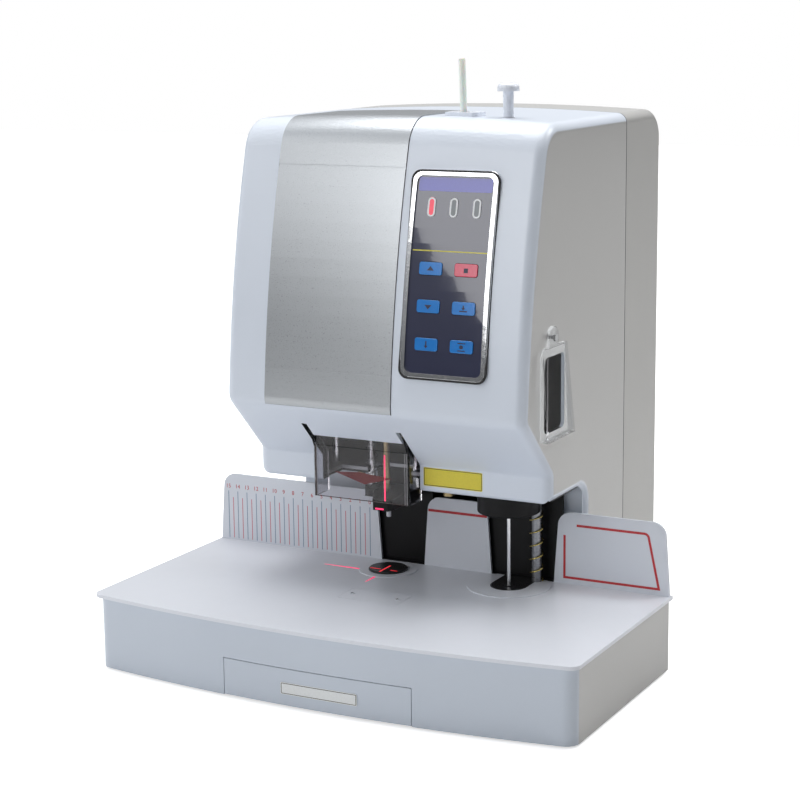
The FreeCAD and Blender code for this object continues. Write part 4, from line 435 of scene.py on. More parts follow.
finishes = {
    "base_shell": base_paint(),
    "chassis_plate": plate_steel,
    "rubber_feet": rubber,
    "table_plate": table_paint,
    "table_hatch": table_paint,
    "drill_pad": pad_plastic,
    "die_cover_ring": table_paint,
    "lower_die": die_metal,
    "lower_heater": plate_steel,
    "fence_left": board_paint,
    "fence_middle": board_paint,
    "fence_right": board_paint,
    "throat_covers": black_paint,
    "chip_drawer": drawer_paint,
    "front_shell": head_paint(),
    "rear_shell": rear_paint(),
    "head_floor": black_paint,
    "front_insert": insert_metal(),
    "panel_bezel": chrome,
    "panel_plate": panel_film,
    "indicator_lamps": lamp_glass(centre("indicator_lamps").x - 10 * MM),
    "circuit_board": board_tracks(),
    "key_up": key_blue,
    "key_down": key_blue,
    "key_drill": key_blue,
    "key_stop": key_red,
    "key_press": key_blue,
    "key_rivet": key_blue,
    "drill_guard": guard_plastic,
    "pivot_screws": steel,
    "side_cover": cover_plastic,
    "main_frame": plate_steel,
    "drill_shafts": rod_chrome,
    "drill_screw": screw_thread("drill_screw_thread", centre("drill_screw"), 4 * MM),
    "drill_lift_motor": motor_paint,
    "drill_carriage": plate_steel,
    "spindle_bearings": steel,
    "drill_spindle": steel,
    "hollow_drill": brass,
    "drill_motor": motor_paint,
    "motor_pulley": steel,
    "drive_belt": belt_rubber(),
    "drill_foot": black_paint,
    "foot_spring": rod_chrome,
    "line_lasers": brass,
    "press_block": black_paint,
    "press_ram": steel,
    "press_post": post_steel,
    "press_screw": screw_thread("press_screw_thread", centre("press_screw"), 5 * MM),
    "press_lift_motor": motor_paint,
    "press_spring": spring_plate,
    "guide_needle": rod_chrome,
    "needle_knob": white_plastic,
    "tube_inlet": white_plastic,
    "tube_cutter": plate_steel,
    "cutter_blade": steel,
    "tube_outlet": brass,
    "rivet_tube": tube_plastic,
    "mains_inlet": black_plastic,
    "rocker_switch": black_plastic,
}
for node, finish in finishes.items():
    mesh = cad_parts[node].data
    mesh.materials.clear()
    mesh.materials.append(finish.material)
    mesh.polygons.foreach_set("use_smooth", [False] * len(mesh.polygons))


# Flat outlines in metres, listed anticlockwise


def rectangle(width, height, x=0.0, y=0.0):
    """Rectangle round a middle point."""
    half_x = width / 2
    half_y = height / 2
    return [(x - half_x, y - half_y), (x + half_x, y - half_y),
            (x + half_x, y + half_y), (x - half_x, y + half_y)]


def rounded(width, height, radius, x=0.0, y=0.0, steps=5):
    """Rectangle with round corners."""
    points = []
    corners = ((1, -1, -90), (1, 1, 0), (-1, 1, 90), (-1, -1, 180))
    for side_x, side_y, start in corners:
        for step in range(steps + 1):
            angle = math.radians(start + 90 * step / steps)
            points.append((x + side_x * (width / 2 - radius) + radius * math.cos(angle),
                           y + side_y * (height / 2 - radius) + radius * math.sin(angle)))
    return points


def disc(radius, x=0.0, y=0.0, steps=24):
    """Circle drawn with straight steps."""
    return [(x + radius * math.cos(2 * math.pi * step / steps),
             y + radius * math.sin(2 * math.pi * step / steps)) for step in range(steps)]


def turned(points, quarter_turns):
    """The outline after some quarter turns round the origin."""
    for _ in range(quarter_turns % 4):
        points = [(-y, x) for x, y in points]
    return points


# Places on the surfaces that the frame gives

LOOKS = {
    "front": (Vector((0, 1, 0)), Vector((1, 0, 0))),
    "back": (Vector((0, -1, 0)), Vector((-1, 0, 0))),
    "top": (Vector((0, 0, -1)), Vector((1, 0, 0))),
}


def spot(node, point, side, reach=1.0):
    """Frame on a node's surface where a line of sight through a point meets it."""
    look, right = LOOKS[side]
    start = Vector(point) - look * reach
    found, place, normal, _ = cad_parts[node].ray_cast(start, look)
    if not found:
        raise ValueError("nothing of " + node + " lies behind that point")
    up = normal.cross(right).normalized()
    across = up.cross(normal)
    axes = Matrix((across, up, normal)).transposed().to_4x4()
    return Matrix.Translation(place) @ axes


# Meshes


def add_prism(shape, placed, outline, thickness, sink=SLIVER):
    """A thin raised shape with a flat outline, standing on a placed frame."""
    foot = [shape.verts.new(placed @ Vector((x, y, -sink))) for x, y in outline]
    top = [shape.verts.new(placed @ Vector((x, y, thickness))) for x, y in outline]
    shape.faces.new(foot[::-1])
    shape.faces.new(top)
    for index in range(len(outline)):
        after = (index + 1) % len(outline)
        shape.faces.new((foot[index], foot[after], top[after], top[index]))


def add_band(shape, placed, outer, inner, thickness, sink=SLIVER, closed=True):
    """A thin raised band between two outlines with the same number of points."""
    loops = []
    for outline, z in ((outer, -sink), (outer, thickness), (inner, thickness), (inner, -sink)):
        loops.append([shape.verts.new(placed @ Vector((x, y, z))) for x, y in outline])
    count = len(outer)
    spans = count if closed else count - 1
    for first, second in zip(loops, loops[1:] + loops[:1]):
        for index in range(spans):
            after = (index + 1) % count
            shape.faces.new((first[index], first[after], second[after], second[index]))
    if not closed:
        for index in (0, count - 1):
            shape.faces.new([loop[index] for loop in loops])


def add_turned(shape, placed, profile, steps=24):
    """A round piece from a profile of radius and height, round the placed frame's normal."""
    rings = []
    for radius, height in profile:
        if radius == 0:
            rings.append([shape.verts.new(placed @ Vector((0, 0, height)))])
            continue
        ring = []
        for step in range(steps):
            angle = 2 * math.pi * step / steps
            ring.append(shape.verts.new(placed @ Vector(
                (radius * math.cos(angle), radius * math.sin(angle), height))))
        rings.append(ring)
    for lower, upper in zip(rings, rings[1:]):
        for step in range(steps):
            after = (step + 1) % steps
            if len(upper) == 1:
                shape.faces.new((lower[step], lower[after], upper[0]))
            elif len(lower) == 1:
                shape.faces.new((lower[0], upper[after], upper[step]))
            else:
                shape.faces.new((lower[step], lower[after], upper[after], upper[step]))


def new_object(name, data):
    """An object in the scene for a mesh, a lamp, a camera or a line of text."""
    item = bpy.data.objects.new(name, data)
    bpy.context.scene.collection.objects.link(item)
    return item


def new_piece(name, shape, body, finish, smooth=False):
    """Turns a drawn mesh into a piece that rides on a body."""
    bmesh.ops.recalc_face_normals(shape, faces=shape.faces)
    mesh = bpy.data.meshes.new(name)
    shape.to_mesh(mesh)
    shape.free()
    mesh.materials.append(finish.material)
    mesh.polygons.foreach_set("use_smooth", [smooth] * len(mesh.polygons))
    item = new_object(name, mesh)
    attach(item, body)
    return item


# Inks and small finishes of the added pieces
rule_blue = printed_ink("rule_blue", tone(105, 135, 165))
rule_red = printed_ink("rule_red", tone(205, 90, 105))
sign_red = printed_ink("sign_red", tone(190, 45, 50))
label_yellow = printed_ink("label_yellow", tone(218, 202, 62), 0.4)
label_border = printed_ink("label_border", tone(60, 55, 25), 0.4)
label_white = printed_ink("label_white", tone(228, 230, 230), 0.4)
header_blue = printed_ink("header_blue", tone(70, 72, 170), 0.12, Coat_Weight=0.6)
panel_yellow = printed_ink("panel_yellow", tone(206, 196, 62), 0.2)
key_ink = printed_ink("key_ink", tone(10, 26, 60), 0.3)
arrow_red = printed_ink("arrow_red", tone(108, 8, 14), 0.4)
# Painted shade for the recesses of screws
recess_painted_shade = printed_ink("recess_painted_shade", tone(28, 28, 30), 0.5)
# Painted shade on the clear guard's edges
edge_painted_shade = printed_ink("edge_painted_shade", tone(62, 48, 48), 0.3)
# Painted highlight on edges of clear plastic
edge_painted_highlight = printed_ink("edge_painted_highlight", tone(150, 148, 152), 0.3)
laser_pink = light_line("laser_pink", (1.0, 0.02, 0.14, 1.0), 1.0)
laser_red = light_line("laser_red", (0.9, 0.004, 0.02, 1.0), 0.8)
sleeve_white = moulded_plastic("sleeve_white", tone(190, 190, 196), 0.35)

print_lift = 0.12 * MM


# Rule on the left board


def number_outlines(text, height):
    """Mesh of one number from Blender's own plain font, centred on its own place."""
    curve = bpy.data.curves.new("number", "FONT")
    curve.body = text
    curve.size = height
    curve.align_x = "CENTER"
    curve.align_y = "CENTER"
    curve.resolution_u = 3
    holder = new_object("number", curve)
    bpy.context.view_layer.update()
    mesh = bpy.data.meshes.new_from_object(holder.evaluated_get(
        bpy.context.evaluated_depsgraph_get()))
    bpy.data.objects.remove(holder)
    bpy.data.curves.remove(curve)
    return mesh


def draw_rule():
    """Numbered blue lines, the last of them zero, with a shorter red line between each two."""
    lines = 16
    step = 10 * MM
    first = low("fence_left").x + 8.6 * MM
    line_width = 0.55 * MM
    foot = table_top + 1.5 * MM
    full = 45 * MM
    blue = bmesh.new()
    red = bmesh.new()
    numbers = bmesh.new()
    for index in range(lines):
        x = first + index * step
        placed = spot("fence_left", (x, 0, foot + full / 2), "front")
        add_prism(blue, placed, rectangle(line_width, full), print_lift)
        if index < lines - 1:
            half = spot("fence_left", (x + step / 2, 0, foot + full * 0.44), "front")
            add_prism(red, half, rectangle(line_width, full * 0.86), print_lift)
        mesh = number_outlines(str(lines - 1 - index), 5.4 * MM)
        sign = spot("fence_left", (x, 0, foot + full + 4.6 * MM), "front")
        mesh.transform(sign @ Matrix.Translation((0, 0, print_lift)))
        numbers.from_mesh(mesh)
        bpy.data.meshes.remove(mesh)
    new_piece("rule_lines_blue", blue, "machine", rule_blue)
    new_piece("rule_lines_red", red, "machine", rule_red)
    new_piece("rule_numbers", numbers, "machine", sign_red)


def draw_board_signs():
    """Red line across the middle board and an open red frame on the right board."""
    line = bmesh.new()
    middle = centre("fence_middle")
    line_height = table_top + 50.7 * MM
    width = (high("fence_middle").x - low("fence_middle").x) - 8.6 * MM
    add_prism(line, spot("fence_middle", (middle.x, 0, line_height), "front"),
              rectangle(width, 2.3 * MM), print_lift)
    foot = table_top + 4.6 * MM
    top = table_top + 53.3 * MM
    left = half_width - 14.6 * MM
    corner = 5 * MM
    opening = 10.4 * MM
    start = half_width - 2.4 * MM
    end = half_width + 73.6 * MM
    width = 2.1 * MM
    arc = (half_width + 64 * MM - corner, top - corner)
    outlines = []
    for inset, shift in ((0, 0), (width, width * 1.25)):
        outline = [(start, top - inset)]
        for step in range(6):
            angle = math.radians(90 - 18 * step)
            outline.append((arc[0] + (corner - inset) * math.cos(angle),
                            arc[1] + (corner - inset) * math.sin(angle)))
        outline.extend([(end - shift, foot + inset), (left + inset, foot + inset),
                        (left + inset, top - opening)])
        outlines.append(outline)
    placed = spot("fence_right", (half_width + 30 * MM, 0, (foot + top) / 2), "front")
    origin = placed.translation
    outer, inner = ([(x - origin.x, z - origin.z) for x, z in outline] for outline in outlines)
    add_band(line, placed, outer, inner, print_lift, closed=False)
    new_piece("board_red_lines", line, "machine", sign_red)


def draw_label(name, node, point, width, height, ink, border, border_width=0.5 * MM):
    """Bare sticker with a thin printed border."""
    placed = spot(node, point, "front")
    body = "drawer" if node == "chip_drawer" else "machine"
    plate = bmesh.new()
    radius = 1 * MM
    add_prism(plate, placed, rounded(width, height, radius), 0.15 * MM)
    new_piece(name, plate, body, ink)
    edge = bmesh.new()
    width -= 1.1 * MM
    height -= 1.1 * MM
    inner = rounded(width - 2 * border_width, height - 2 * border_width, radius / 2)
    add_band(edge, placed, rounded(width, height, 0.8 * radius), inner, 0.2 * MM)
    new_piece(name + "_border", edge, body, border)


# Control panel


def draw_panel():
    """Blue header bar and thin yellow line on the dark plate."""
    panel = centre("panel_plate")
    inner_width = high("panel_plate").x - low("panel_plate").x
    header_height = 11.2 * MM
    margin = 1.5 * MM
    lift = 0.1 * MM
    header = bmesh.new()
    middle = high("panel_plate").z - margin - header_height / 2
    add_prism(header, spot("panel_plate", (panel.x, 0, middle), "front"),
              rounded(inner_width - 2 * margin, header_height, margin), lift, 3 * lift)
    new_piece("panel_header", header, "machine", header_blue)
    line = bmesh.new()
    below_lamps = centre("indicator_lamps").z - 34.5 * MM
    add_prism(line, spot("panel_plate", (panel.x, 0, below_lamps), "front"),
              rectangle(inner_width - 2 * MM, 0.9 * MM), lift, lift)
    new_piece("panel_line", line, "machine", panel_yellow)


def lamp_places():
    """Middle of each of the three lamps, found from the lamps' own mesh."""
    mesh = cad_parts["indicator_lamps"].data
    edge = low("indicator_lamps").x
    span = high("indicator_lamps").x - edge
    count = 3
    sums = [[0.0, 0] for _ in range(count)]
    for vertex in mesh.vertices:
        lamp = min(count - 1, int(count * (vertex.co.x - edge) / span))
        sums[lamp][0] += vertex.co.x
        sums[lamp][1] += 1
    return [total / points for total, points in sums]


def draw_lamp_rims():
    """Pale raised rims round the three lamps."""
    rims = bmesh.new()
    sunk = 0.6 * MM
    rise = 0.7 * MM
    height = centre("indicator_lamps").z
    for x in lamp_places():
        placed = spot("indicator_lamps", (x, 0, height), "front")
        placed = placed @ Matrix.Translation((0, 0, -sunk))
        add_band(rims, placed, rounded(6.8 * MM, 15.6 * MM, 3.3 * MM),
                 rounded(4.2 * MM, 13.0 * MM, 2.0 * MM), rise, sunk)
    new_piece("lamp_rims", rims, "machine", rim_plastic)


def draw_bezel_shadow():
    """Dark band round the panel's bezel, where it meets the face: a painted shadow, drawn as a thin
    piece in the rubber finish.
    """
    middle = (low("panel_bezel") + high("panel_bezel")) / 2
    extent = high("panel_bezel") - low("panel_bezel")
    placed = spot("panel_plate", (centre("panel_plate").x, 0, centre("panel_plate").z), "front")
    slope = placed.col[1].xyz
    outline = (extent.x, (extent.z - abs(slope.y) * 4 * MM) / slope.z)
    placed.translation += slope * ((middle.z - placed.translation.z) / slope.z)
    shadow_band = bmesh.new()
    grow = 0.9 * MM
    add_band(shadow_band, placed, rounded(outline[0] + grow, outline[1] + grow, 8.5 * MM),
             rounded(outline[0] - 2 * MM, outline[1] - 2 * MM, 7.5 * MM), -0.9 * MM, 3 * MM)
    # Painted shadow along the bezel's outer edge.
    new_piece("bezel_painted_shadow", shadow_band, "machine", rubber)


def key_marks():
    """Plain printed marks on the keys: arrows, a square, and a dot between two bars."""
    arrow = [(-3.2 * MM, -1.4 * MM), (3.2 * MM, -1.4 * MM), (0, 2.2 * MM)]
    marks = {
        "key_up": [arrow],
        "key_down": [turned(arrow, 2)],
        "key_stop": [rectangle(3.6 * MM, 3.6 * MM)],
        "key_drill": [rectangle(1.2 * MM, 4 * MM, 0, 1 * MM),
                      [(-1.8 * MM, -0.8 * MM), (0, -3 * MM), (1.8 * MM, -0.8 * MM)]],
        "key_press": [rectangle(7 * MM, 1 * MM, 0, -2 * MM),
                      [(-2 * MM, 0.6 * MM), (0, -1.2 * MM), (2 * MM, 0.6 * MM)],
                      rectangle(1.2 * MM, 2.2 * MM, 0, 1.6 * MM)],
        "key_rivet": [disc(1.7 * MM), rectangle(7 * MM, 0.8 * MM, 0, 3 * MM),
                      rectangle(7 * MM, 0.8 * MM, 0, -3 * MM)],
    }
    for node, outlines in marks.items():
        place = centre(node)
        placed = spot(node, (place.x, 0, place.z), "front")
        shape = bmesh.new()
        for outline in outlines:
            add_prism(shape, placed, outline, 0.08 * MM)
        new_piece(node + "_mark", shape, node + "_body", key_ink)


# Laser light, marks and edges of the guard, pressure foot


def tapered(length, width, tip_share=0.2):
    """Outline along X, from a fine tip at zero to its full width at its length."""
    tip = width * tip_share / 2
    full = width / 2
    return [(0, -tip), (length * 0.6, -full), (length, -full), (length, full),
            (length * 0.6, full), (0, tip)]


def draw_laser_light():
    """Two lines that cross a little nearer than the drill, on the table and on the pad."""
    width = 1.8 * MM
    margin = 0.6 * MM
    nearer = 8.5 * MM
    radius = (high("drill_pad").x - low("drill_pad").x) / 2
    cross_y = drill_axis.y - nearer
    chord = math.sqrt(radius ** 2 - nearer ** 2)
    table = bmesh.new()
    start = drill_axis.x - 60 * MM
    placed = spot("table_plate", (start, cross_y, 0), "top")
    end = drill_axis.x - chord - margin
    add_prism(table, placed, tapered(end - start, width), print_lift)
    near = drill_axis.y - 42 * MM
    placed = spot("table_plate", (drill_axis.x, near, 0), "top")
    line = turned(tapered(drill_axis.y - radius - margin - near, width), 1)
    add_prism(table, placed, line, print_lift)
    new_piece("laser_on_table", table, "machine", laser_pink)
    pad = bmesh.new()
    placed = spot("drill_pad", tuple(drill_axis), "top")
    half = chord - 1.5 * MM
    for middle, length in ((-half * 0.6, half * 0.75), (half * 0.72, half * 0.5)):
        add_prism(pad, placed, rectangle(length, 0.9 * MM, middle, -nearer), print_lift)
    reach = radius - 1 * MM
    beyond = 4 * MM
    add_prism(pad, placed, rectangle(1.3 * MM, reach + beyond, 0, (beyond - reach) / 2),
              1.5 * print_lift)
    new_piece("laser_on_pad", pad, "pad", laser_red)


def draw_guard_marks():
    """Red pointer printed inside the clear guard and the laser's streak on it."""
    guard = centre("drill_guard")
    foot = low("drill_guard").z
    plate = spot("drill_guard", (guard.x, 0, foot + 18.7 * MM), "back")
    arrow = bmesh.new()
    add_prism(arrow, plate, [(-2.4 * MM, -4.5 * MM), (26.4 * MM, 3.9 * MM), (3.5 * MM, 5.7 * MM),
                             (-29.4 * MM, 2.8 * MM)][::-1], print_lift)
    new_piece("guard_pointer", arrow, "guard", arrow_red)
    streak = bmesh.new()
    line = spot("drill_guard", (guard.x + 22.2 * MM, 0, foot + 21.5 * MM), "back")
    add_prism(streak, line, rectangle(1.3 * MM, 40 * MM), print_lift)
    new_piece("guard_laser_streak", streak, "guard", laser_pink)


def draw_guard_edges():
    """The guard's front sheet up to the cut-out's top edge, and thin lines along its edges: dark
    ones are painted shade on the sheet's edges, pale ones are painted highlights on its corners.
    """
    guard_low = low("drill_guard")
    guard_high = high("drill_guard")
    middle_x = centre("drill_guard").x
    front = spot("drill_guard", (middle_x, 0, guard_low.z + 20 * MM), "front").translation.y
    thickness = 2.2 * MM
    height = 45 * MM
    shoulder = guard_low.z + height
    width = guard_high.x - guard_low.x
    sheet = bmesh.new()
    placed = Matrix.Translation((middle_x, front + thickness / 2, shoulder))
    add_prism(sheet, placed, rectangle(width - 2 * thickness - 0.4 * MM, thickness), 9 * MM, 0)
    new_piece("guard_upper_sheet", sheet, "guard", guard_plastic)
    facing = Matrix.Rotation(math.radians(90), 4, "X")
    # Painted shade: dark lines along the sheet's bottom and left edges.
    dark = bmesh.new()
    placed = Matrix.Translation((middle_x, front, guard_low.z + 0.4 * MM)) @ facing
    add_prism(dark, placed, rectangle(width - 4 * MM, 0.6 * MM), print_lift)
    halfway = guard_low.z + height / 2
    placed = Matrix.Translation((guard_low.x + 2 * MM, front, halfway)) @ facing
    add_prism(dark, placed, rectangle(1 * MM, height), print_lift)
    new_piece("guard_shade_lines", dark, "guard", edge_painted_shade)
    # Painted highlights: pale lines along the guard's corners.
    pale = bmesh.new()
    for x in (guard_low.x + 3.2 * MM, guard_high.x - 4 * MM, guard_high.x - 2 * MM):
        placed = Matrix.Translation((x, front, halfway)) @ facing
        add_prism(pale, placed, rectangle(0.45 * MM, height), print_lift)
    new_piece("guard_highlight_lines", pale, "guard", edge_painted_highlight)


def add_block(shape, placed, outer, inner, height):
    """An upright block with a hole through it."""
    levels = []
    for z in (0, height):
        loops = []
        edges = []
        for outline in (outer, inner):
            loop = [shape.verts.new(placed @ Vector((x, y, z))) for x, y in outline]
            edges += [shape.edges.new(pair) for pair in zip(loop, loop[1:] + loop[:1])]
            loops.append(loop)
        bmesh.ops.triangle_fill(shape, edges=edges, use_beauty=True)
        levels.append(loops)
    for lower, upper in zip(*levels):
        count = len(lower)
        for index in range(count):
            after = (index + 1) % count
            shape.faces.new((lower[index], lower[after], upper[after], upper[index]))


def draw_foot():
    """Pressure foot with its narrow nose beside the drill, its spring ear and its two rods."""
    foot_low = low("drill_foot")
    foot_top = foot_low.z + 10 * MM
    placed = Matrix.Translation((drill_axis.x, drill_axis.y, foot_low.z))
    outer = [(20.4, -28.6), (20.4, 27), (-12, 27), (-12, 22.5), (-23.5, 22.5), (-28.1, 20.6),
             (-30, 16), (-28.1, 11.4), (-23.5, 9.5), (-12, 9.5), (-12, -2), (3, -32), (17, -32)]
    outer = [(x * MM, y * MM) for x, y in outer]
    block = bmesh.new()
    add_block(block, placed, outer, disc(4 * MM), foot_top - foot_low.z)
    rims = [edge for edge in block.edges if edge.calc_face_angle(0) > 0.5 and all(
        (vert.co - placed.translation).xy.length > 5 * MM for vert in edge.verts)]
    bmesh.ops.bevel(block, geom=rims, offset=0.5 * MM, segments=2, affect="EDGES", profile=0.6)
    piece = new_piece("pressure_foot_block", block, "pressure_foot", black_paint)
    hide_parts("drill_foot")
    rods = bmesh.new()
    radius = 3.3 * MM
    length = high("drill_foot").z - foot_top
    for x, y in ((-23.5, 16), (16.4, 22)):
        stand = Matrix.Translation((drill_axis.x + x * MM, drill_axis.y + y * MM, foot_top))
        add_turned(rods, stand, [(radius, -1 * MM), (radius, length - 0.4 * MM),
                                 (radius - 0.4 * MM, length), (0, length)], 32)
    new_piece("foot_rods", rods, "pressure_foot", rod_chrome, True)


def draw_foot_lamp():
    """Small pale sleeve at the front of the pressure foot, and the laser's streak beside it."""
    foot_low = low("drill_foot")
    placed = Matrix.Translation((drill_axis.x + 16.6 * MM, foot_low.y + 3.4 * MM, foot_low.z))
    radius = 2 * MM
    shape = bmesh.new()
    add_turned(shape, placed, [(radius, 0.5 * MM), (radius, -4.6 * MM), (radius * 0.8, -5 * MM),
                               (radius * 0.5, -5 * MM), (0, -4.2 * MM)])
    new_piece("foot_sleeve", shape, "pressure_foot", sleeve_white, True)
    red = bmesh.new()
    placed = Matrix.Translation((drill_axis.x + 9.4 * MM, foot_low.y, foot_low.z + 1.6 * MM))
    placed = placed @ Matrix.Rotation(math.radians(90), 4, "X")
    add_prism(red, placed, rectangle(8 * MM, 1.4 * MM), print_lift)
    new_piece("foot_laser_streak", red, "pressure_foot", laser_pink)


# Fasteners


def pan_head(shapes, placed, radius):
    """Pan head with a cross recess: one mesh for the head, one for the painted shade in its recess.
    """
    head, recess = shapes
    rise = radius * 0.62
    profile = [(radius, -2 * SLIVER), (radius, rise * 0.4), (radius * 0.88, rise * 0.78),
               (radius * 0.55, rise * 0.97), (0, rise)]
    add_turned(head, placed, profile)
    arm = radius * 0.26
    reach = radius * 0.6
    cross = [(arm, -reach), (arm, -arm), (reach, -arm), (reach, arm), (arm, arm), (arm, reach)]
    cross += [(-x, -y) for x, y in cross]
    # Painted shade: a thin dark cross on the head where its recess lies.
    add_prism(recess, placed @ Matrix.Translation((0, 0, rise * 0.9)), cross, rise * 0.12)


def draw_fasteners():
    """Screws that hold the rear shell, with painted shade in their cross recesses, and painted
    shade in the recesses of the table hatch's screws.
    """
    shapes = (bmesh.new(), bmesh.new())
    rear_low = low("rear_shell")
    rear_high = high("rear_shell")
    for side in (-1, 1):
        for height in (rear_low.z + 78 * MM, centre("rear_shell").z + 30 * MM,
                       rear_high.z - 62 * MM):
            placed = spot("rear_shell", (side * (half_width - 14 * MM), 0, height), "back")
            pan_head(shapes, placed, 3.4 * MM)
    new_piece("rear_screws", shapes[0], "machine", steel, True)
    new_piece("rear_screw_recess_shade", shapes[1], "machine", recess_painted_shade)
    hatch = bmesh.new()
    hatch_middle = centre("table_hatch")
    for side in (-1, 1):
        x = hatch_middle.x + side * (high("table_hatch").x - hatch_middle.x - 6.5 * MM)
        placed = spot("table_hatch", (x, hatch_middle.y, 0), "top")
        slot = rectangle(2.8 * MM, 0.6 * MM)
        # Painted shade in the cross recess of each hatch screw.
        add_prism(hatch, placed, slot, print_lift)
        add_prism(hatch, placed, turned(slot, 1), print_lift)
    new_piece("hatch_screw_slot_shade", hatch, "machine", recess_painted_shade)


def draw_side_cover_edge():
    """Pale bead along the clear cover's front edge as a painted highlight, and two chrome balls at
    its foot that stand in for glints.
    """
    cover_low = low("side_cover")
    cover_high = high("side_cover")
    highlight_bead = bmesh.new()
    x = cover_high.x - 1.0 * MM
    radius = 0.45 * MM
    foot = cover_low.z + 8 * MM
    span = cover_high.z - 22 * MM - foot
    placed = Matrix.Translation((x, cover_low.y + 1.4 * MM, foot))
    add_turned(highlight_bead, placed, [(0, 0), (radius, radius), (radius, span - radius), (0, span)], 10)
    new_piece("side_cover_edge_highlight", highlight_bead, "side_lid", edge_painted_highlight, True)
    # Chrome balls standing in for the two glints at the edge's foot.
    ends = bmesh.new()
    for z in (cover_low.z + 3.5 * MM, cover_low.z + 8.5 * MM):
        placed = Matrix.Translation((x, cover_low.y + 1.4 * MM, z))
        add_turned(ends, placed, [(0, -1.1 * MM), (0.8 * MM, -0.8 * MM), (1.1 * MM, 0),
                                  (0.8 * MM, 0.8 * MM), (0, 1.1 * MM)], 12)
    new_piece("side_cover_glints", ends, "side_lid", chrome, True)


draw_rule()
draw_board_signs()
lip_place = Vector((51, 0, 164.5)) * MM
draw_label("lip_label", "front_shell", lip_place, 55 * MM, 16 * MM, label_yellow, label_border)
drawer_place = Vector((6, 0, 17.2)) * MM
draw_label("drawer_label", "chip_drawer", drawer_place, 70 * MM, 10 * MM, label_white, label_border)
draw_panel()
draw_lamp_rims()
draw_bezel_shadow()
key_marks()
draw_laser_light()
draw_guard_marks()
draw_guard_edges()
draw_foot()
draw_foot_lamp()
draw_fasteners()
draw_side_cover_edge()


# Stage, light and camera

# How much of the floor's white polished pieces mirror, and the brightness of the room
mirrored_share = 0.72
room_low = 0.03
room_high = 0.03
room_left = 0.98
mirror_low = 0.15
mirror_high = 1.3

# Power of the lamps in watts
key_power = 3
top_power = 29
right_power = 4
card_power = 7.5


def seen_directly(tree, path):
    """One for what the camera sees straight or through clear plastic."""
    return number(tree, "MAXIMUM", path.outputs["Is Camera Ray"],
                  path.outputs["Is Transmission Ray"])


def background_material(name, near_level):
    """Pale floor that shows the machine's shadow near it and plain white further out."""
    finish = Finish(name, tone(236, 236, 236), 0.9)
    distance = finish.tree.nodes.new("ShaderNodeVectorMath")
    distance.operation = "LENGTH"
    finish.link(finish.place, distance.inputs[0])
    level = finish.ramp(distance.outputs["Value"], near_level, 1.0, 0.35, 1.1)
    far_level = finish.ramp(distance.outputs["Value"], 0.25, 1.0, 0.5, 3.5)
    path = finish.tree.nodes.new("ShaderNodeLightPath")
    tree = finish.tree
    shown = number(tree, "MULTIPLY", seen_directly(tree, path), level)
    mirrored = number(tree, "MULTIPLY", path.outputs["Is Glossy Ray"], mirrored_share)
    reflected = number(tree, "MULTIPLY", mirrored, far_level)
    finish.shader.inputs["Emission Color"].default_value = (1, 1, 1, 1)
    finish.link(number(tree, "MAXIMUM", shown, reflected),
                finish.shader.inputs["Emission Strength"])
    return finish


def build_floor():
    """Wide floor whose far part is as white as the room behind it."""
    shape = bmesh.new()
    side = 12.0
    shape.faces.new([shape.verts.new((x, y, 0)) for x, y in rectangle(side, side)])
    mesh = bpy.data.meshes.new("floor")
    shape.to_mesh(mesh)
    shape.free()
    mesh.materials.append(background_material("floor", 0.6).material)
    new_object("floor", mesh)


def build_world():
    """White behind the machine, and a room that is brighter above and at the left."""
    world = bpy.data.worlds.new("studio")
    bpy.context.scene.world = world
    world.use_nodes = True
    tree = world.node_tree
    light = tree.nodes["Background"]
    light.inputs["Color"].default_value = (0.95, 0.97, 1.0, 1)
    split = tree.nodes.new("ShaderNodeSeparateXYZ")
    direction = tree.nodes.new("ShaderNodeTexCoord").outputs["Generated"]
    tree.links.new(direction, split.inputs["Vector"])
    height = split.outputs["Z"]
    path = tree.nodes.new("ShaderNodeLightPath")
    level = tree.nodes.new("ShaderNodeMix")
    level.data_type = "FLOAT"
    tree.links.new(path.outputs["Is Glossy Ray"], level.inputs["Factor"])
    upper = ramped(tree, height, room_low, room_high, 0.0, 0.7)
    left = ramped(tree, split.outputs["X"], room_left, 0.0, -0.8, 0.2)
    tree.links.new(number(tree, "ADD", upper, left), level.inputs[2])
    tree.links.new(ramped(tree, height, mirror_low, mirror_high, 0.0, 0.9), level.inputs[3])
    tree.links.new(level.outputs[0], light.inputs["Strength"])
    shown = tree.nodes.new("ShaderNodeBackground")
    shown.inputs["Color"].default_value = (1, 1, 1, 1)
    shown.inputs["Strength"].default_value = 1.0
    mix = tree.nodes.new("ShaderNodeMixShader")
    tree.links.new(seen_directly(tree, path), mix.inputs[0])
    tree.links.new(light.outputs[0], mix.inputs[1])
    tree.links.new(shown.outputs[0], mix.inputs[2])
    tree.links.new(mix.outputs[0], tree.nodes["World Output"].inputs["Surface"])


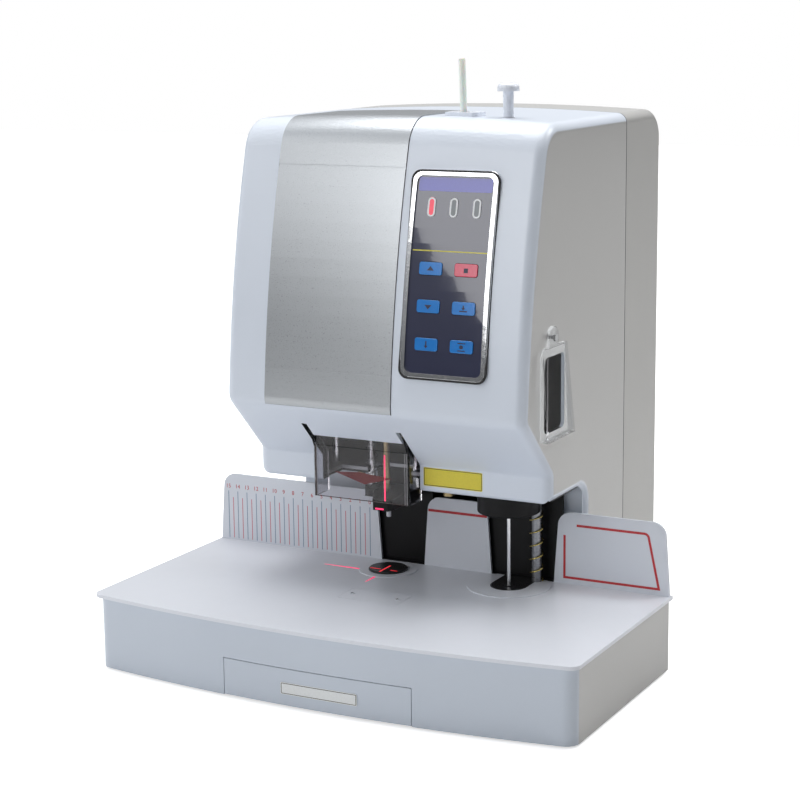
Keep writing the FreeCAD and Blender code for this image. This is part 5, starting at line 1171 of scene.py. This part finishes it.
def add_lamp(name, width, height, power):
    """Rectangular studio lamp."""
    lamp = bpy.data.lights.new(name, "AREA")
    lamp.shape = "RECTANGLE"
    lamp.size = width
    lamp.size_y = height
    lamp.energy = power
    return new_object(name, lamp)


def add_softbox(name, place, aim, width, height, power):
    """Studio lamp that points at a place on the machine."""
    holder = add_lamp(name, width, height, power)
    holder.location = place
    holder.rotation_mode = "QUATERNION"
    holder.rotation_quaternion = (Vector(aim) - Vector(place)).to_track_quat("-Z", "Y")


def add_card(name, edge_start, edge_end, width, power):
    """Bright card in front of the machine, with its left edge on a line between two places."""
    start = Vector(edge_start)
    along = (Vector(edge_end) - start).normalized()
    outward = Vector((0, -1, 0))
    across = along.cross(outward)
    length = (Vector(edge_end) - start).length
    holder = add_lamp(name, width, length, power)
    axes = Matrix((across, along, outward)).transposed().to_4x4()
    place = start + along * (length / 2) + across * (width / 2)
    holder.matrix_world = Matrix.Translation(place) @ axes


def build_camera():
    """Camera of the photograph, with its place, direction and small roll."""
    place = Vector((776.1, -1504.3, 555.4)) * MM
    forward = Vector((-0.4601, 0.8664, -0.1943)).normalized()
    right = Vector((0.8832, 0.4690, 0)).normalized()
    up = right.cross(forward)
    roll = math.radians(-0.672)
    across = right * math.cos(roll) + up * math.sin(roll)
    upward = up * math.cos(roll) - right * math.sin(roll)
    camera = bpy.data.cameras.new("photo_camera")
    camera.sensor_width = 36.0
    camera.lens = 89.66
    holder = new_object("photo_camera", camera)
    axes = Matrix((across, upward, -forward)).transposed().to_4x4()
    holder.matrix_world = Matrix.Translation(place) @ axes
    bpy.context.scene.camera = holder


build_floor()
build_world()
middle = (cad_low + cad_high) / 2
add_softbox("key_softbox", (-1.5, -1.2, 1.3), middle, 1.2, 1.2, key_power)
add_softbox("top_softbox", (0, 0.25, 1.9), middle, 1.6, 1.4, top_power)
add_softbox("right_softbox", (0.75, 0.5, 1.05), (0.14, 0.1, 0.4), 0.4, 0.4, right_power)
add_card("front_card", (-0.66, -1.9, 0.34), (-1.13, -1.9, 1.31), 0.7, card_power)
build_camera()
bpy.context.scene.view_settings.view_transform = "Standard"
